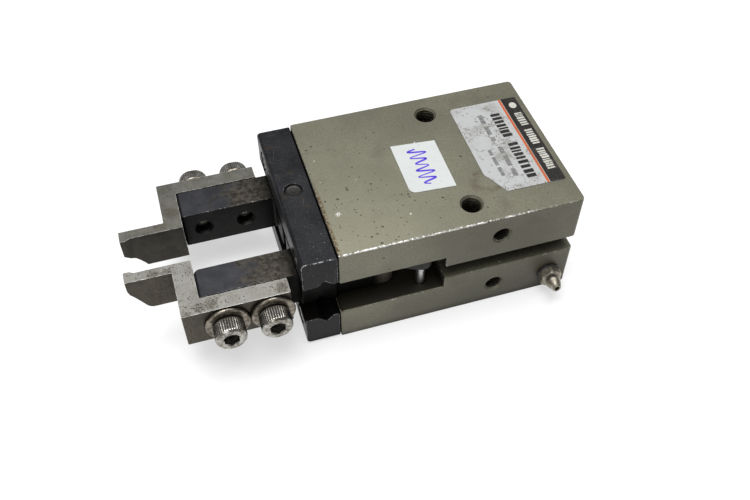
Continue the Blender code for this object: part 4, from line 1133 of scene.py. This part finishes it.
def pen_line(name, x, start, end, swing, waves, level):
    """A wavy pen stroke of uneven swing along Y."""
    steps = 160
    half = 0.3
    form = bmesh.new()
    rows = []
    for i in range(steps + 1):
        share = i / steps
        phase = share * waves * 2 * math.pi
        reach = swing * (0.8 + 0.2 * math.sin(share * 11))
        middle = Vector((x + reach * math.sin(phase), start + (end - start) * share))
        slope = reach * math.cos(phase) * waves * 2 * math.pi / (end - start)
        across = Vector((1.0, -slope)).normalized() * half * (0.85 + 0.25 * math.sin(share * 23))
        left, right = middle - across, middle + across
        corners = ((left, level), (right, level), (right, level + PRINT), (left, level + PRINT))
        rows.append([form.verts.new((*point, height)) for point, height in corners])
    form.faces.new(rows[0])
    form.faces.new(rows[-1])
    for here, there in zip(rows, rows[1:]):
        for k in range(4):
            form.faces.new((here[k - 1], here[k], there[k], there[k - 1]))
    return show(solid(name, form), "body", "paper", finish="violet_ink")


# ---- room


def carried_over():
    """Give the CAD nodes that stay on view their finishes, by their record's slot."""
    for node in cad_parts.values():
        if node.hide_render:
            continue
        for holder in node.material_slots:
            finish = holder.material.name.split(".")[0]
            # The levers take near-black steel as painted shade.
            if node.name.startswith("lever"):
                finish = "greasy_steel"
            holder.material = FINISHES[finish]


def floor():
    material = bpy.data.materials.new("floor")
    material.use_nodes = True
    shader = material.node_tree.nodes["Principled BSDF"]
    for name, value in (
        ("Base Color", (0.45, 0.45, 0.45, 1.0)),
        ("Emission Color", (1.0, 1.0, 1.0, 1.0)),
        ("Emission Strength", 0.56),
        ("Roughness", 0.9),
        ("Specular IOR Level", 0.0),
    ):
        shader.inputs[name].default_value = value
    form = bmesh.new()
    bmesh.ops.create_grid(form, x_segments=1, y_segments=1, size=6000.0)
    made = solid("floor", form)
    made.data.transform(Matrix.Scale(MM, 4))
    made.data.materials.append(material)
    made.location.z = -0.00002


def area_light(name, place, target, size, power):
    data = bpy.data.lights.new(name, "AREA")
    data.shape = "RECTANGLE"
    data.size, data.size_y = (length * MM for length in size)
    data.energy = power
    lamp = bpy.data.objects.new(name, data)
    lamp.location = Vector(place) * MM
    aim = (Vector(target) - Vector(place)).normalized()
    lamp.rotation_euler = aim.to_track_quat("-Z", "Y").to_euler()
    bpy.context.scene.collection.objects.link(lamp)


def studio():
    world = bpy.data.worlds.new("studio")
    world.use_nodes = True
    sky = world.node_tree.nodes["Background"].inputs
    sky["Color"].default_value = (0.97, 0.985, 1.0, 1.0)
    sky["Strength"].default_value = 0.26
    bpy.context.scene.world = world
    area_light("top_box", (60.0, -60.0, 900.0), (0.0, 0.0, 0.0), (800.0, 700.0), 11.0)
    area_light("near_box", (420.0, 620.0, 420.0), (20.0, 0.0, 10.0), (500.0, 300.0), 1.1)
    bpy.context.scene.view_settings.view_transform = "Standard"


def camera():
    """The camera looks down at the near side from in front and above."""
    place = Vector((67.92, 160.68, 202.68))
    target = Vector((20.51, 12.47, 17.5))
    roll = math.radians(0.54)
    data = bpy.data.cameras.new("camera")
    data.lens = 41.3
    data.sensor_width = 36.0
    data.clip_start = 0.01
    made = bpy.data.objects.new("camera", data)
    made.location = place * MM
    aim = (target - place).to_track_quat("-Z", "Y").to_matrix()
    made.rotation_euler = (aim @ Matrix.Rotation(roll, 3, "Z")).to_euler()
    bpy.context.scene.collection.objects.link(made)
    bpy.context.scene.camera = made


def main():
    camera()
    studio()
    floor()
    body_shell()
    for level, up in (("upper", 1), ("lower", -1)):
        guide_rail(level, up)
        rail_plug(level, up)
    rail_screws()
    rear_closure()
    hose_fitting()
    pins()
    for side, sign in (("near", 1), ("far", -1)):
        finger(side, sign)
        jaw(side, sign)
        jaw_fasteners(side, sign)
    name_plate()
    paper_label()
    carried_over()


main()
